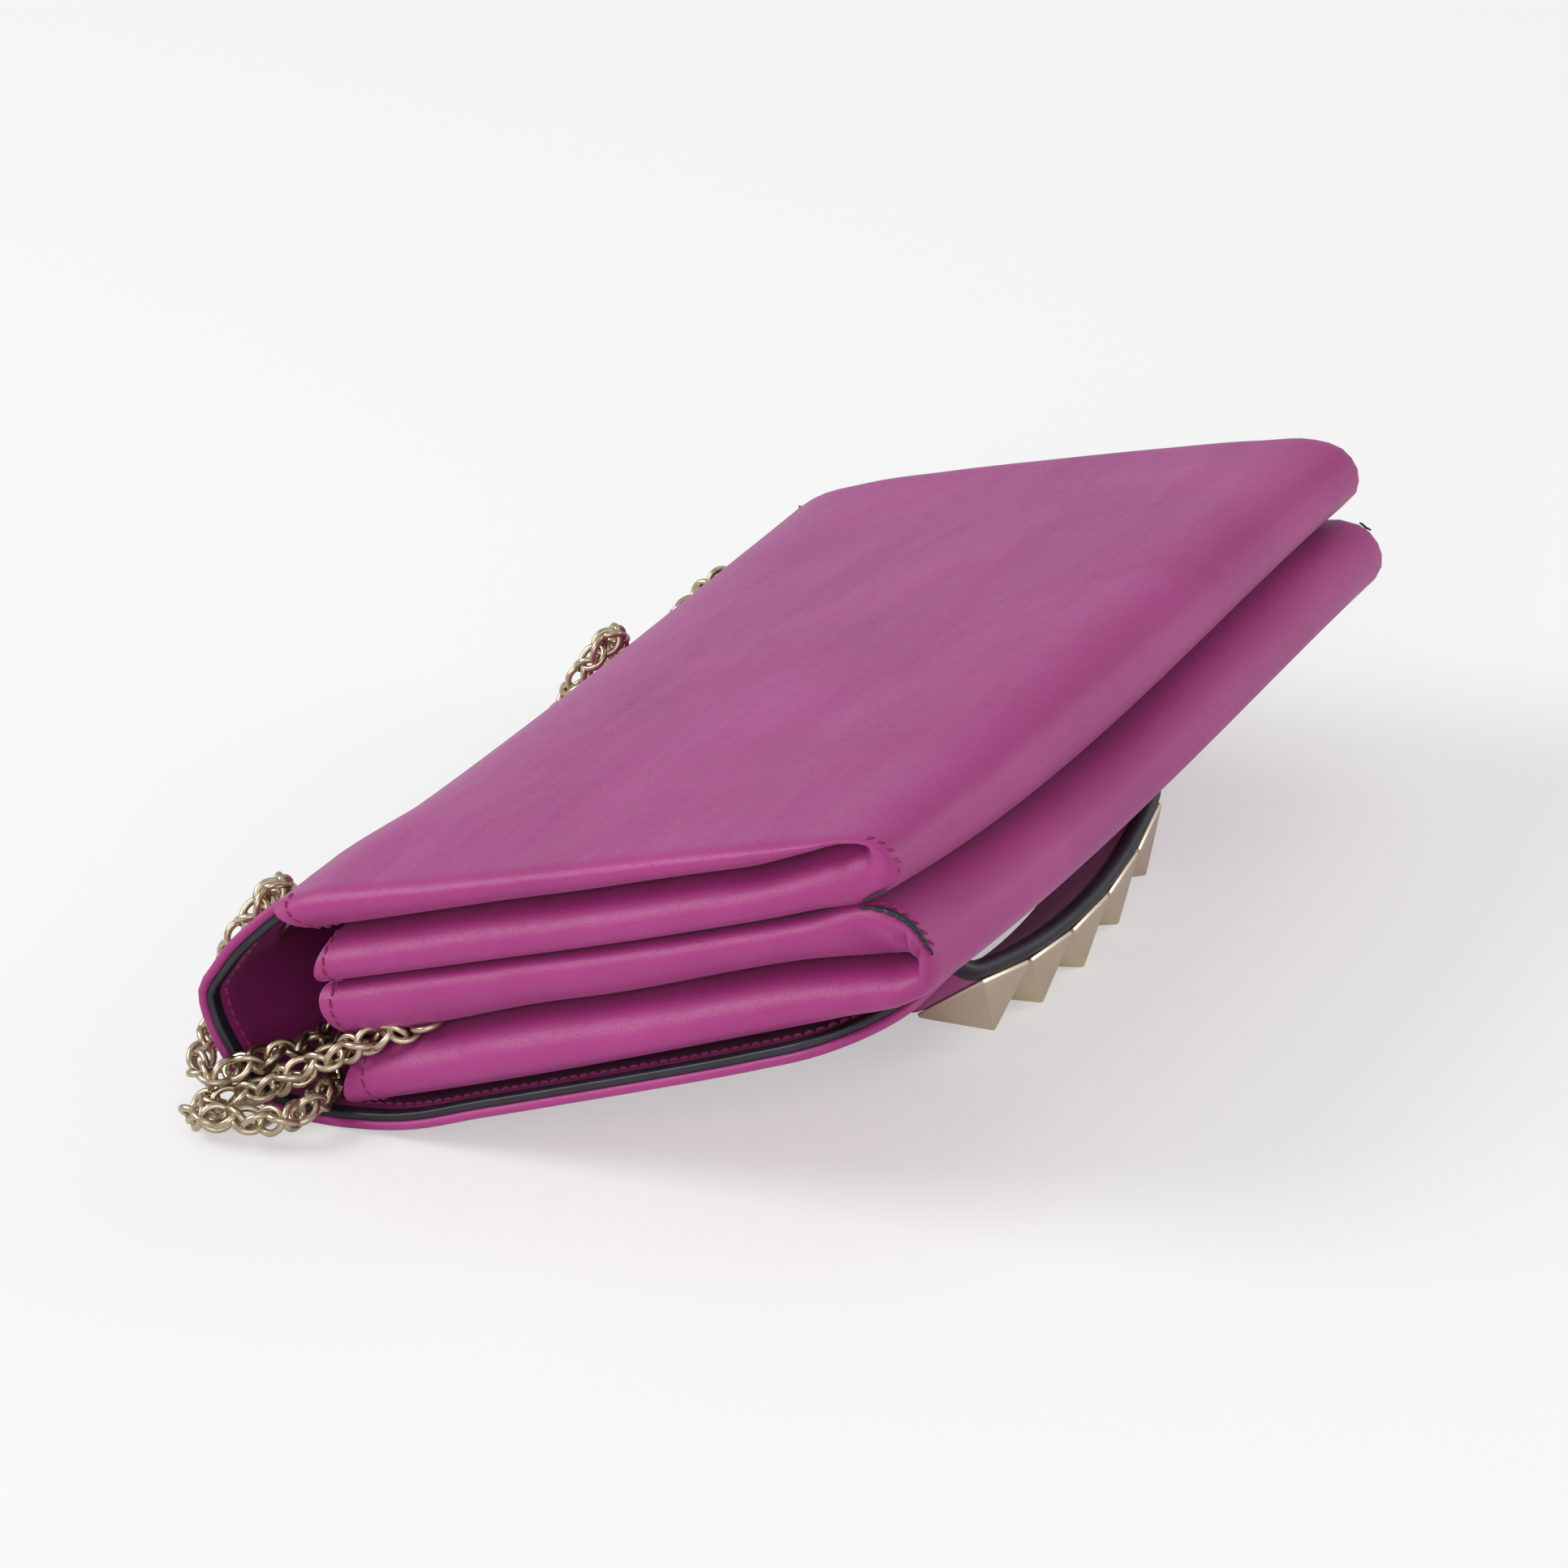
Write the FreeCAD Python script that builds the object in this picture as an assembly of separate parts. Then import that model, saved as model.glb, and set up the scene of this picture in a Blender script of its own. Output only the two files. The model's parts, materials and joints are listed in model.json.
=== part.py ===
"""Accordion shoulder clutch with a studded finger bar and a chain, lying face down.

The bag is modelled in its own plane: X is its width, Y runs from the bottom roll (0) up to the fold of
the flap, and Z runs from the back wall (0) down towards the front. It is then tilted about X, because it
rests on the points of the studs and on the lower corner of the flap's fold. Millimetres throughout.
"""

import FreeCAD
import Part
import math
import os

from FreeCAD import Vector

# ---------------------------------------------------------------- driving dimensions
bag_width = 262.0
back_height = 157.0

rear_depth = 21.2
rear_mouth_depth = 17.4
rear_front_height = 149.0
front_depth = 19.6
front_mouth_depth = 30.4
front_back_height = 150.0
front_front_height = 151.5
pouch_leather = 1.6
pouch_lining = 0.6
roll_share = 0.47
between_pouches = 0.4

gusset_leather = 1.4
gusset_fold = 15.0
gusset_top_drop = 1.5
gusset_foot = 1.6
gusset_round = 4.0

spine_rise = 27.1
spine_drop = 20.3
spine_corner_radius = 8.0
fold_side_in = 6.8
fold_corner_radius = 22.0
flap_belly_height = 136.0
flap_belly_radius = 90.0
flap_end_height = 19.0
flap_corner_radius = 22.0
flap_leather = 1.0
flap_board = 0.5
flap_lining = 0.8
flap_paint = 0.35
board_inset = 9.0
spine_gap = 1.2
spine_step = 0.6

bar_lean = 19.4
bar_low_edge_height = 34.8
bar_reach = 25.5
bar_arch_radius = 200.0
bar_arch_half = 50.0
bar_leg_radius = 14.0
bar_leg_angle = 80.0
bar_leg_run = 24.0
bar_cover = 0.9
bar_core = 2.4
bar_margin = 1.6
bar_paint = 0.4

stud_count = 5
stud_base = 19.8
stud_gap = 1.6
stud_height = 10.8
stud_wall = 1.6
stud_plinth = 1.0
stud_tip = 0.35
stud_floor = 0.4
stud_pin_radius = 1.2
stud_pin_height = 5.94
rivet_shank_radius = 0.9
rivet_shank_below = 1.6
rivet_head_radius = 3.2
rivet_head = 0.6

eyelet_place = 104.0
eyelet_from_ridge = 13.4
eyelet_bore = 4.6
eyelet_flange = 8.2
eyelet_flange_thick = 0.8
eyelet_lip = 0.36
eyelet_barrel = 0.5

snap_height = 100.0
snap_radius = 8.5
snap_male_thick = 1.1
snap_female_thick = 1.3
snap_plate_radius = 7.0
snap_plate_thick = 0.4
snap_pin_radius = 2.2
snap_dimple_radius = 3.8
snap_dimple_depth = 0.65

chain_diameter = 6.2
ring_outer = 4.2
ring_wire = 0.8

# ---------------------------------------------------------------- named clearances
seam = 0.1
paint_lap = 0.02
gusset_clear = 0.25
running = 0.3
fold_over_mouth = 0.3
flap_end_gap = 0.12
flap_belly_gap = 4.42
cut_past = 5.0

# ---------------------------------------------------------------- derived sizes
half_width = bag_width / 2
rear_roll = roll_share * rear_depth
front_roll = roll_share * front_depth
front_start = rear_depth + between_pouches
front_mouth_start = rear_mouth_depth + between_pouches
front_bottom = front_start + front_depth
front_mouth_end = front_mouth_start + front_mouth_depth
flap_total = flap_leather + flap_board + flap_lining + 2 * seam
fold_depth = front_mouth_end + fold_over_mouth
bar_thick = bar_core + 2 * bar_cover + 2 * seam
bar_width = stud_base + 2 * bar_margin
stud_pitch = stud_base + stud_gap

# The chain's route in the bag's own plane (X, Y, Z), from its ring in the front pouch's near gusset to
# the far eyelet in the spine.
chain_route = [
    (-124.5, 134.0, -33.0),
    (-126.5, 141.0, -33.4),
    (-130.4, 149.0, -34.4),
    (-131.8, 158.0, -36.8),
    (-133.6, 166.2, -39.0),
    (-136.4, 173.4, -40.0),
    (-138.4, 179.0, -40.2),
    (-139.8, 184.6, -40.4),
    (-145.6, 184.8, -41.0),
    (-148.0, 178.6, -41.8),
    (-145.8, 171.6, -42.6),
    (-145.4, 164.8, -43.8),
    (-142.8, 159.0, -44.6),
    (-136.0, 157.0, -44.2),
    (-126.0, 157.6, -43.4),
    (-104.0, 160.4, -42.6),
    (-70.0, 158.8, -41.8),
    (-20.0, 161.4, -42.6),
    (24.0, 159.6, -42.8),
    (46.0, 161.6, -41.0),
    (57.0, 164.4, -35.0),
    (60.4, 166.0, -27.0),
    (56.6, 165.4, -19.4),
    (45.0, 163.4, -14.6),
    (22.0, 162.6, -16.4),
    (-22.0, 165.8, -19.6),
    (-66.0, 167.8, -24.6),
    (-98.0, 168.6, -30.6),
    (-118.0, 166.0, -34.0),
    (-129.6, 169.8, -33.0),
    (-136.2, 174.8, -32.8),
    (-138.4, 180.2, -33.2),
    (-137.8, 185.8, -31.2),
    (-133.6, 188.8, -26.2),
    (-127.2, 188.4, -19.2),
    (-119.8, 180.8, -11.2),
    (-114.6, 172.8, -6.0),
    (-108.4, 170.2, -3.4),
    (-101.0, 172.8, -5.2),
    (-92.0, 180.2, -10.8),
    (-80.0, 188.6, -17.6),
    (-60.0, 189.4, -20.6),
    (-30.0, 189.2, -20.2),
    (0.0, 189.6, -20.8),
    (18.0, 188.6, -18.4),
    (29.0, 181.4, -11.4),
    (35.0, 171.4, -4.2),
    (40.0, 166.2, -1.2),
    (45.8, 166.8, -1.6),
    (51.6, 172.8, -5.6),
    (58.6, 181.8, -12.2),
    (68.0, 189.0, -19.4),
    (79.0, 188.8, -18.8),
    (87.6, 184.2, -12.2),
    (94.2, 176.4, -7.6),
    (100.8, 171.6, -4.0),
    (104.2, 168.4, -7.2),
]

nodes = {}


def keep(name, shape):
    """Remember a piece under its node name, still in the bag's own plane."""
    nodes[name] = shape


# ---------------------------------------------------------------- section helpers
def unit(a, b):
    length = math.hypot(b[0] - a[0], b[1] - a[1])
    return ((b[0] - a[0]) / length, (b[1] - a[1]) / length)


def shifted_path(points, shift):
    """Move an open path of (y, z) points sideways, to its left for a positive shift."""
    moved = []
    for i, point in enumerate(points):
        before = unit(points[i - 1], point) if i > 0 else None
        after = unit(point, points[i + 1]) if i < len(points) - 1 else None
        before = before or after
        after = after or before
        n1 = (-before[1], before[0])
        n2 = (-after[1], after[0])
        bisector = (n1[0] + n2[0], n1[1] + n2[1])
        scale = 2 * shift / (bisector[0] ** 2 + bisector[1] ** 2)
        moved.append((point[0] + bisector[0] * scale, point[1] + bisector[1] * scale))
    return moved


def path_edges(points, radii, x):
    """Straight runs joined by tangent arcs, through (y, z) points at one x."""
    edges = []
    last = points[0]
    for i in range(1, len(points) - 1):
        a, b, c = points[i - 1], points[i], points[i + 1]
        u, v = unit(a, b), unit(b, c)
        turn = math.acos(max(-1.0, min(1.0, u[0] * v[0] + u[1] * v[1])))
        reach = radii[i] * math.tan(turn / 2)
        start = (b[0] - u[0] * reach, b[1] - u[1] * reach)
        end = (b[0] + v[0] * reach, b[1] + v[1] * reach)
        inward = (v[0] - u[0], v[1] - u[1])
        size = math.hypot(*inward)
        drop = radii[i] / math.cos(turn / 2) - radii[i]
        mid = (b[0] + inward[0] / size * drop, b[1] + inward[1] / size * drop)
        if math.dist(last, start) > 1e-6:
            edges.append(Part.makeLine(Vector(x, *last), Vector(x, *start)))
        edges.append(Part.Arc(Vector(x, *start), Vector(x, *mid), Vector(x, *end)).toShape())
        last = end
    if math.dist(last, points[-1]) > 1e-6:
        edges.append(Part.makeLine(Vector(x, *last), Vector(x, *points[-1])))
    return edges


def ribbon(points, radii, near, far, x_low, x_high):
    """A sheet that follows a path between two sideways shifts. Corners keep their centres."""
    turns = []
    for i in range(len(points)):
        if 0 < i < len(points) - 1:
            u, v = unit(points[i - 1], points[i]), unit(points[i], points[i + 1])
            turns.append(1.0 if u[0] * v[1] - u[1] * v[0] > 0 else -1.0)
        else:
            turns.append(0.0)
    sides = []
    for shift in (near, far):
        moved = shifted_path(points, shift)
        rounded = [r - side * shift for r, side in zip(radii, turns)]
        sides.append((moved, rounded))
    outer = path_edges(*sides[0], x_low)
    inner = path_edges(*sides[1], x_low)
    caps = [
        Part.makeLine(Vector(x_low, *sides[0][0][0]), Vector(x_low, *sides[1][0][0])),
        Part.makeLine(Vector(x_low, *sides[0][0][-1]), Vector(x_low, *sides[1][0][-1])),
    ]
    face = Part.Face(Part.Wire(Part.__sortEdges__(outer + inner + caps)))
    return face.extrude(Vector(x_high - x_low, 0, 0))


def z_on(line, y):
    """Z of a straight wall, given as two (y, z) points, at a height y."""
    (y0, z0), (y1, z1) = line
    return z0 + (z1 - z0) * (y - y0) / (y1 - y0)


# ---------------------------------------------------------------- the two pouches
def pouch_path(back_top, back_low, front_low, front_top):
    """The outside of a pouch, down its back wall, round the roll and up its front wall."""
    return [back_top, (0.0, back_low), (0.0, front_low), front_top]


rear_path = pouch_path(
    (back_height, 0.0), 0.0, -rear_depth, (rear_front_height, -rear_mouth_depth)
)
front_path = pouch_path(
    (front_back_height, -front_mouth_start),
    -front_start,
    -front_bottom,
    (front_front_height, -front_mouth_end),
)


def make_pouch(name, path, roll):
    """The leather shell of a pouch and the lining inside it."""
    radii = [0.0, roll, roll, 0.0]
    keep(name + "_leather", ribbon(path, radii, 0.0, pouch_leather, -half_width, half_width))
    lining_half = half_width - gusset_fold - 2 * gusset_leather
    outside = pouch_leather + seam
    lining_path = list(path)
    lining_path[0] = (path[3][0] - gusset_top_drop, z_on(path[0:2], path[3][0] - gusset_top_drop))
    lining_path[3] = (path[3][0] - gusset_top_drop, z_on(path[2:4], path[3][0] - gusset_top_drop))
    lining = ribbon(lining_path, radii, outside, outside + pouch_lining, -lining_half, lining_half)
    keep(name + "_lining", lining)


def inner_face(wall, roll, y, inward):
    """Z of a wall's inner face at a height y: straight, and on the arc of the bottom roll below it."""
    (y0, z0), (y1, z1) = wall
    slant = math.hypot(1.0, (z1 - z0) / (y1 - y0))
    if y >= roll:
        return z_on(wall, y) + inward * pouch_leather * slant
    centre = z_on(wall, roll) + inward * roll * slant
    return centre - inward * math.sqrt((roll - pouch_leather) ** 2 - (roll - y) ** 2)


def gusset_section(path, roll, y, side):
    """The folded V of a gusset at one height: its two legs lie on the walls and meet inside."""
    back = inner_face(path[0:2], roll, y, -1) - gusset_clear
    front = inner_face(path[2:4], roll, y, 1) + gusset_clear
    middle = (back + front) / 2
    half = (back - front) / 2
    leg = math.hypot(gusset_fold, half)
    slant = min(gusset_leather * leg / half, gusset_fold)
    corners = [
        (half_width, back),
        (half_width - gusset_fold, middle),
        (half_width, front),
        (half_width - slant, front),
        (half_width - gusset_fold - slant, middle),
        (half_width - slant, back),
    ]
    points = [Vector(side * x, y, z) for x, z in corners]
    return Part.makePolygon(points + points[:1])


def make_gusset(name, path, roll, side):
    top = path[3][0] - gusset_top_drop
    heights = [pouch_leather + gusset_foot, pouch_leather + gusset_round, roll, top]
    sections = [gusset_section(path, roll, y, side) for y in heights]
    keep(name, Part.makeLoft(sections, True, True))


make_pouch("rear_pouch", rear_path, rear_roll)
make_pouch("front_pouch", front_path, front_roll)
for pouch, path, roll in (("rear", rear_path, rear_roll), ("front", front_path, front_roll)):
    for end, side in (("near", -1), ("far", 1)):
        make_gusset(pouch + "_gusset_" + end, path, roll, side)

# ---------------------------------------------------------------- the flap and its fold
front_wall = front_path[2:4]
flap_end_depth = -z_on(front_wall, flap_end_height) + flap_total + flap_end_gap
flap_belly_depth = -z_on(front_wall, flap_belly_height) + flap_total + flap_belly_gap
bar_low_edge_depth = flap_end_depth + bar_reach
spine_start = (back_height + spine_gap, -spine_step)
spine_end = (back_height + spine_rise, -spine_drop)
fold_end = (spine_end[0] - fold_side_in, -fold_depth)
belly = (flap_belly_height, -flap_belly_depth)
flap_end = (flap_end_height, -flap_end_depth)
flap_path = [spine_start, spine_end, fold_end, belly, flap_end]
flap_radii = [0.0, spine_corner_radius, fold_corner_radius, flap_belly_radius, 0.0]


def corner_reach(points, radii, i):
    u, v = unit(points[i - 1], points[i]), unit(points[i], points[i + 1])
    return radii[i] * math.tan(math.acos(u[0] * v[0] + u[1] * v[1]) / 2)


def along(a, b, distance):
    u = unit(a, b)
    return (a[0] + u[0] * distance, a[1] + u[1] * distance)


side_split = along(spine_end, fold_end, corner_reach(flap_path, flap_radii, 1) + running)
flap_split = along(fold_end, belly, corner_reach(flap_path, flap_radii, 2) + running)
spine_part = ([spine_start, spine_end, side_split], [0.0, spine_corner_radius, 0.0])
fold_top = along(side_split, fold_end, running)
fold_foot = along(flap_split, fold_end, running)
fold_part = ([fold_top, fold_end, fold_foot], [0.0, fold_corner_radius, 0.0])
flap_part = ([flap_split, belly, flap_end], [0.0, flap_belly_radius, 0.0])


def flap_outline(inset):
    """The flap's outline from the front, with round lower corners, as a prism through the sheet."""
    x = half_width - inset
    low = flap_end_height + inset
    high = spine_end[0] + cut_past
    r = flap_corner_radius - inset
    diagonal = r * (1 - math.sqrt(0.5))
    z = -flap_belly_depth - cut_past

    def line(a, b):
        return Part.makeLine(Vector(*a, z), Vector(*b, z))

    def arc(a, b, c):
        return Part.Arc(Vector(*a, z), Vector(*b, z), Vector(*c, z)).toShape()

    edges = [
        line((-x, high), (-x, low + r)),
        arc((-x, low + r), (-x + diagonal, low + diagonal), (-x + r, low)),
        line((-x + r, low), (x - r, low)),
        arc((x - r, low), (x - diagonal, low + diagonal), (x, low + r)),
        line((x, low + r), (x, high)),
        line((x, high), (-x, high)),
    ]
    return Part.Face(Part.Wire(edges)).extrude(Vector(0, 0, -z))


def flap_sheet(outside, thick, inset):
    side = half_width + cut_past
    sheet = ribbon(*flap_part, -outside, -(outside + thick), -side, side)
    return sheet.common(flap_outline(inset)).Solids[0]


board_start = flap_leather + seam
lining_start = board_start + flap_board + seam
flap_plies = [
    ("flap_leather", 0.0, flap_leather, flap_paint),
    ("flap_stiffener", board_start, flap_board, board_inset),
    ("flap_lining", lining_start, flap_lining, flap_paint),
]
plies = {name: flap_sheet(start, thick, inset) for name, start, thick, inset in flap_plies}
rim = flap_sheet(0.0, flap_total, 0.0).cut(flap_outline(flap_paint - paint_lap))
keep("flap_edge_paint", rim.Solids[0])

for name, part in (("spine", spine_part), ("fold", fold_part)):
    keep(name + "_leather", ribbon(*part, 0.0, -flap_leather, -half_width, half_width))
    lining = ribbon(*part, -(flap_leather + seam), -flap_total, -half_width, half_width)
    keep(name + "_lining", lining)

# ---------------------------------------------------------------- eyelets in the spine
spine_along = unit(spine_start, spine_end)
spine_out = Vector(0, -spine_along[1], spine_along[0])
spine_middle = along(spine_start, spine_end, eyelet_from_ridge)


def disc(centre, axis, radius, low, high):
    return Part.makeCylinder(radius, high - low, centre + axis * low, axis)


def make_eyelet(end, side):
    centre = Vector(side * eyelet_place, *spine_middle)
    low = -flap_total - cut_past
    hole = disc(centre, spine_out, eyelet_bore + eyelet_barrel + seam, low, cut_past)
    for piece in ("spine_leather", "spine_lining"):
        nodes[piece] = nodes[piece].cut(hole)
    bore = disc(centre, spine_out, eyelet_bore, low, cut_past)
    flange = disc(centre, spine_out, eyelet_flange, seam / 2, eyelet_flange_thick)
    crest = centre + spine_out * eyelet_flange_thick
    top_edges = [e for e in flange.Edges if e.CenterOfMass.isEqual(crest, seam)]
    flange = flange.makeFillet(eyelet_lip, top_edges)
    outside = eyelet_bore + eyelet_barrel
    barrel = disc(centre, spine_out, outside, -flap_total - 2 * eyelet_barrel, seam)
    keep("eyelet_" + end, flange.fuse(barrel).cut(bore).removeSplitter().Solids[0])
    clear = disc(centre, spine_out, outside + paint_lap, low, cut_past)
    washer_top = -flap_total - seam / 2
    washer_low = -flap_total - eyelet_flange_thick
    washer = disc(centre, spine_out, eyelet_flange, washer_low, washer_top)
    keep("eyelet_washer_" + end, washer.cut(clear))


make_eyelet("near", -1)
make_eyelet("far", 1)

# ---------------------------------------------------------------- finger bar and studs
lean = math.radians(bar_lean)
across = Vector(0, math.cos(lean), -math.sin(lean))
outward = Vector(0, -math.sin(lean), -math.cos(lean))
bar_corner = Vector(0, bar_low_edge_height, -bar_low_edge_depth)


def bar_point(u, v, w):
    """A point in the bar's own axes: along the row of studs, across it and out of it."""
    return bar_corner + Vector(u, 0, 0) + across * v + outward * w


def arch_points(shift):
    """Points of the arch from the left foot to the right foot, moved inwards by shift."""
    tip = math.asin(bar_arch_half / bar_arch_radius)
    leg = math.radians(bar_leg_angle)
    crown = bar_arch_radius - shift
    bend = bar_leg_radius - shift
    low = -bar_arch_radius * (1 - math.cos(tip))
    centre = (bar_arch_half - bar_leg_radius * math.sin(tip), low - bar_leg_radius * math.cos(tip))

    def on_leg(angle):
        return (centre[0] + bend * math.sin(angle), centre[1] + bend * math.cos(angle))

    start = on_leg(tip)
    half = on_leg((tip + leg) / 2)
    end = on_leg(leg)
    foot = (end[0] + bar_leg_run * math.cos(leg), end[1] - bar_leg_run * math.sin(leg))
    return crown, start, half, end, foot


def arch_sheet(outside, thick, v_low, v_high):
    """One ply of the bar: the arch between two depths, from one edge of the bar to the other."""
    loops = []
    for shift in (outside, outside + thick):
        crown, start, half, end, foot = arch_points(shift)

        def p(point, sign=1):
            return bar_point(sign * point[0], v_low, point[1])

        top = bar_point(0, v_low, -shift)
        edges = [
            Part.makeLine(p(foot, -1), p(end, -1)),
            Part.Arc(p(end, -1), p(half, -1), p(start, -1)).toShape(),
            Part.Arc(p(start, -1), top, p(start)).toShape(),
            Part.Arc(p(start), p(half), p(end)).toShape(),
            Part.makeLine(p(end), p(foot)),
        ]
        loops.append((edges, p(foot, -1), p(foot)))
    caps = [
        Part.makeLine(loops[0][1], loops[1][1]),
        Part.makeLine(loops[0][2], loops[1][2]),
    ]
    face = Part.Face(Part.Wire(Part.__sortEdges__(loops[0][0] + loops[1][0] + caps)))
    return face.extrude(across * (v_high - v_low))


v_low = -bar_margin
v_high = v_low + bar_width
under_flap = ribbon(*flap_part, seam, -flap_belly_depth, -half_width, half_width)


def on_flap(shape):
    """End the bar's legs on the flap's leather."""
    return shape.cut(under_flap)


inner_edge = (v_low + bar_paint + paint_lap, v_high - bar_paint - paint_lap)
core_start = bar_cover + seam
keep("bar_outer_leather", on_flap(arch_sheet(0.0, bar_cover, *inner_edge)).Solids[0])
keep("bar_core", on_flap(arch_sheet(core_start, bar_core, *inner_edge)).Solids[0])
inner_start = core_start + bar_core + seam
keep("bar_inner_leather", on_flap(arch_sheet(inner_start, bar_cover, *inner_edge)).Solids[0])
for edge, low, high in (("lower", v_low, v_low + bar_paint), ("upper", v_high - bar_paint, v_high)):
    keep("bar_edge_paint_" + edge, on_flap(arch_sheet(0.0, bar_thick, low, high)).Solids[0])


def make_stud(index):
    """A hollow pyramid on a low plinth, with a pin that is turned over behind the core."""
    angle = (index - (stud_count - 1) / 2) * stud_pitch / (bar_arch_radius + stud_height / 3)
    tangent = Vector(math.cos(angle), 0, 0) - outward * math.sin(angle)
    normal = outward * math.cos(angle) + Vector(math.sin(angle), 0, 0)
    drop = bar_arch_radius * (1 - math.cos(angle))
    centre = bar_point(bar_arch_radius * math.sin(angle), stud_base / 2, -drop)

    def ring(half, height):
        corners = ((-1, -1), (1, -1), (1, 1), (-1, 1))
        middle = centre + normal * height
        points = [middle + tangent * (a * half) + across * (b * half) for a, b in corners]
        return Part.makePolygon(points + points[:1])

    def pyramid(half, low, plinth, height):
        block = Part.makeLoft([ring(half, low), ring(half, low + plinth)], True, True)
        cone = Part.makeLoft([ring(half, low + plinth), ring(stud_tip, low + height)], True, True)
        return block.fuse(cone).removeSplitter()

    outside = pyramid(stud_base / 2, seam, stud_plinth, stud_height)
    hollow = pyramid(stud_base / 2 - stud_wall, seam, stud_floor, stud_height - 2 * stud_wall)
    pin_low = -(bar_cover + bar_core + 2 * seam)
    pin = disc(centre, normal, stud_pin_radius, pin_low, stud_pin_height)
    stud = outside.cut(hollow).fuse(pin).removeSplitter()
    for piece in ("bar_outer_leather", "bar_core"):
        hole = disc(centre, normal, stud_pin_radius + seam, pin_low - bar_cover, bar_cover)
        nodes[piece] = nodes[piece].cut(hole)
    keep("stud_%d" % (index + 1), stud.Solids[0])


for index in range(stud_count):
    make_stud(index)


# ---------------------------------------------------------------- rivets that hold the bar's legs
flap_line = (belly, flap_end)
flap_along = unit(*flap_line)
flap_in = Vector(0, flap_along[1], -flap_along[0])


def make_rivets():
    """One rivet through the flap into each leg of the bar."""
    _, _, _, end, foot = arch_points(core_start + bar_core / 2)
    rivets = []
    for side in (-1, 1):
        middle = stud_base / 2
        start = bar_point(side * end[0], middle, end[1])
        toward = bar_point(side * foot[0], middle, foot[1]) - start
        above = start.z - z_on(flap_line, start.y)
        gained = toward.z - (z_on(flap_line, start.y + toward.y) - z_on(flap_line, start.y))
        seat = start - toward * (above / gained)
        head_low = flap_total + seam / 2
        shank = disc(seat, flap_in, rivet_shank_radius, -rivet_shank_below, head_low + seam)
        head = disc(seat, flap_in, rivet_head_radius, head_low, flap_total + rivet_head)
        rivets.append(shank.fuse(head).removeSplitter())
        hole_low = -rivet_shank_below - running
        hole = disc(seat, flap_in, rivet_shank_radius + seam, hole_low, flap_total + cut_past)
        for name in plies:
            plies[name] = plies[name].cut(hole)
        nodes["bar_core"] = nodes["bar_core"].cut(hole)
    keep("bar_rivets", Part.makeCompound(rivets))


make_rivets()

# ---------------------------------------------------------------- magnetic snap
snap_on_flap = Vector(0, snap_height, z_on(flap_line, snap_height))
male_top = flap_total + seam / 2
male = disc(snap_on_flap, flap_in, snap_radius, male_top, male_top + snap_male_thick)
pin_start = flap_leather + seam / 2
hole_start = flap_leather + seam / 4
plate_clear = snap_plate_radius + seam
shank = disc(snap_on_flap, flap_in, snap_pin_radius, pin_start, male_top + seam)
snap_hole = disc(snap_on_flap, flap_in, snap_pin_radius + seam, hole_start, flap_total + cut_past)
plate_hole = disc(snap_on_flap, flap_in, plate_clear, board_start - seam / 2, lining_start - seam / 2)
plies["flap_lining"] = plies["flap_lining"].cut(snap_hole)
plies["flap_stiffener"] = plies["flap_stiffener"].cut(plate_hole)
keep("snap_male", male.fuse(shank).removeSplitter().Solids[0])
plate = disc(snap_on_flap, flap_in, snap_plate_radius, board_start, board_start + snap_plate_thick)
keep("snap_male_plate", plate.cut(snap_hole))

front_along = unit(*front_wall)
front_out = Vector(0, front_along[1], -front_along[0])
snap_on_pouch = Vector(0, snap_height, z_on(front_wall, snap_height))
pin_low = -(pouch_leather + seam / 2)
female = disc(snap_on_pouch, front_out, snap_radius, seam / 2, snap_female_thick)
dimple_low = snap_female_thick - snap_dimple_depth
dimple = disc(snap_on_pouch, front_out, snap_dimple_radius, dimple_low, cut_past)
shank = disc(snap_on_pouch, front_out, snap_pin_radius, pin_low, seam)
female_hole = disc(snap_on_pouch, front_out, snap_pin_radius + seam, -pouch_leather - seam, seam)
nodes["front_pouch_leather"] = nodes["front_pouch_leather"].cut(female_hole)
keep("snap_female", female.cut(dimple).fuse(shank).removeSplitter().Solids[0])
plate_low = -(pouch_leather + seam + pouch_lining + seam / 2 + snap_plate_thick)
plate_high = plate_low + snap_plate_thick
keep("snap_female_plate", disc(snap_on_pouch, front_out, snap_plate_radius, plate_low, plate_high))

for name, shape in plies.items():
    keep(name, shape)

# ---------------------------------------------------------------- the chain and its ring
route_start = Vector(*chain_route[1]) - Vector(*chain_route[0])
route_start.normalize()


def make_ring():
    """The small ring that hooks the chain's first link to the gusset's fold."""
    centre = Vector(*chain_route[0]) - route_start * (ring_outer + seam)
    ring = Part.makeTorus(ring_outer - ring_wire, ring_wire, centre, Vector(0, 0, 1))
    keep("chain_ring", ring)


def chain_edges(points):
    """Straight runs joined by tangent arcs, each as large as its two runs allow."""
    edges, radii = [], []
    last = points[0]
    for a, b, c in zip(points, points[1:], points[2:]):
        u, v = (b - a), (c - b)
        shorter = min(u.Length, v.Length)
        u.normalize()
        v.normalize()
        turn = u.getAngle(v)
        reach = 0.45 * shorter
        radius = reach / math.tan(turn / 2)
        start, end = b - u * reach, b + v * reach
        inward = v - u
        inward.normalize()
        mid = b + inward * (radius / math.cos(turn / 2) - radius)
        edges.append(Part.makeLine(last, start))
        edges.append(Part.Arc(start, mid, end).toShape())
        radii.append((radius, math.degrees(turn)))
        last = end
    edges.append(Part.makeLine(last, points[-1]))
    return edges, radii


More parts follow.
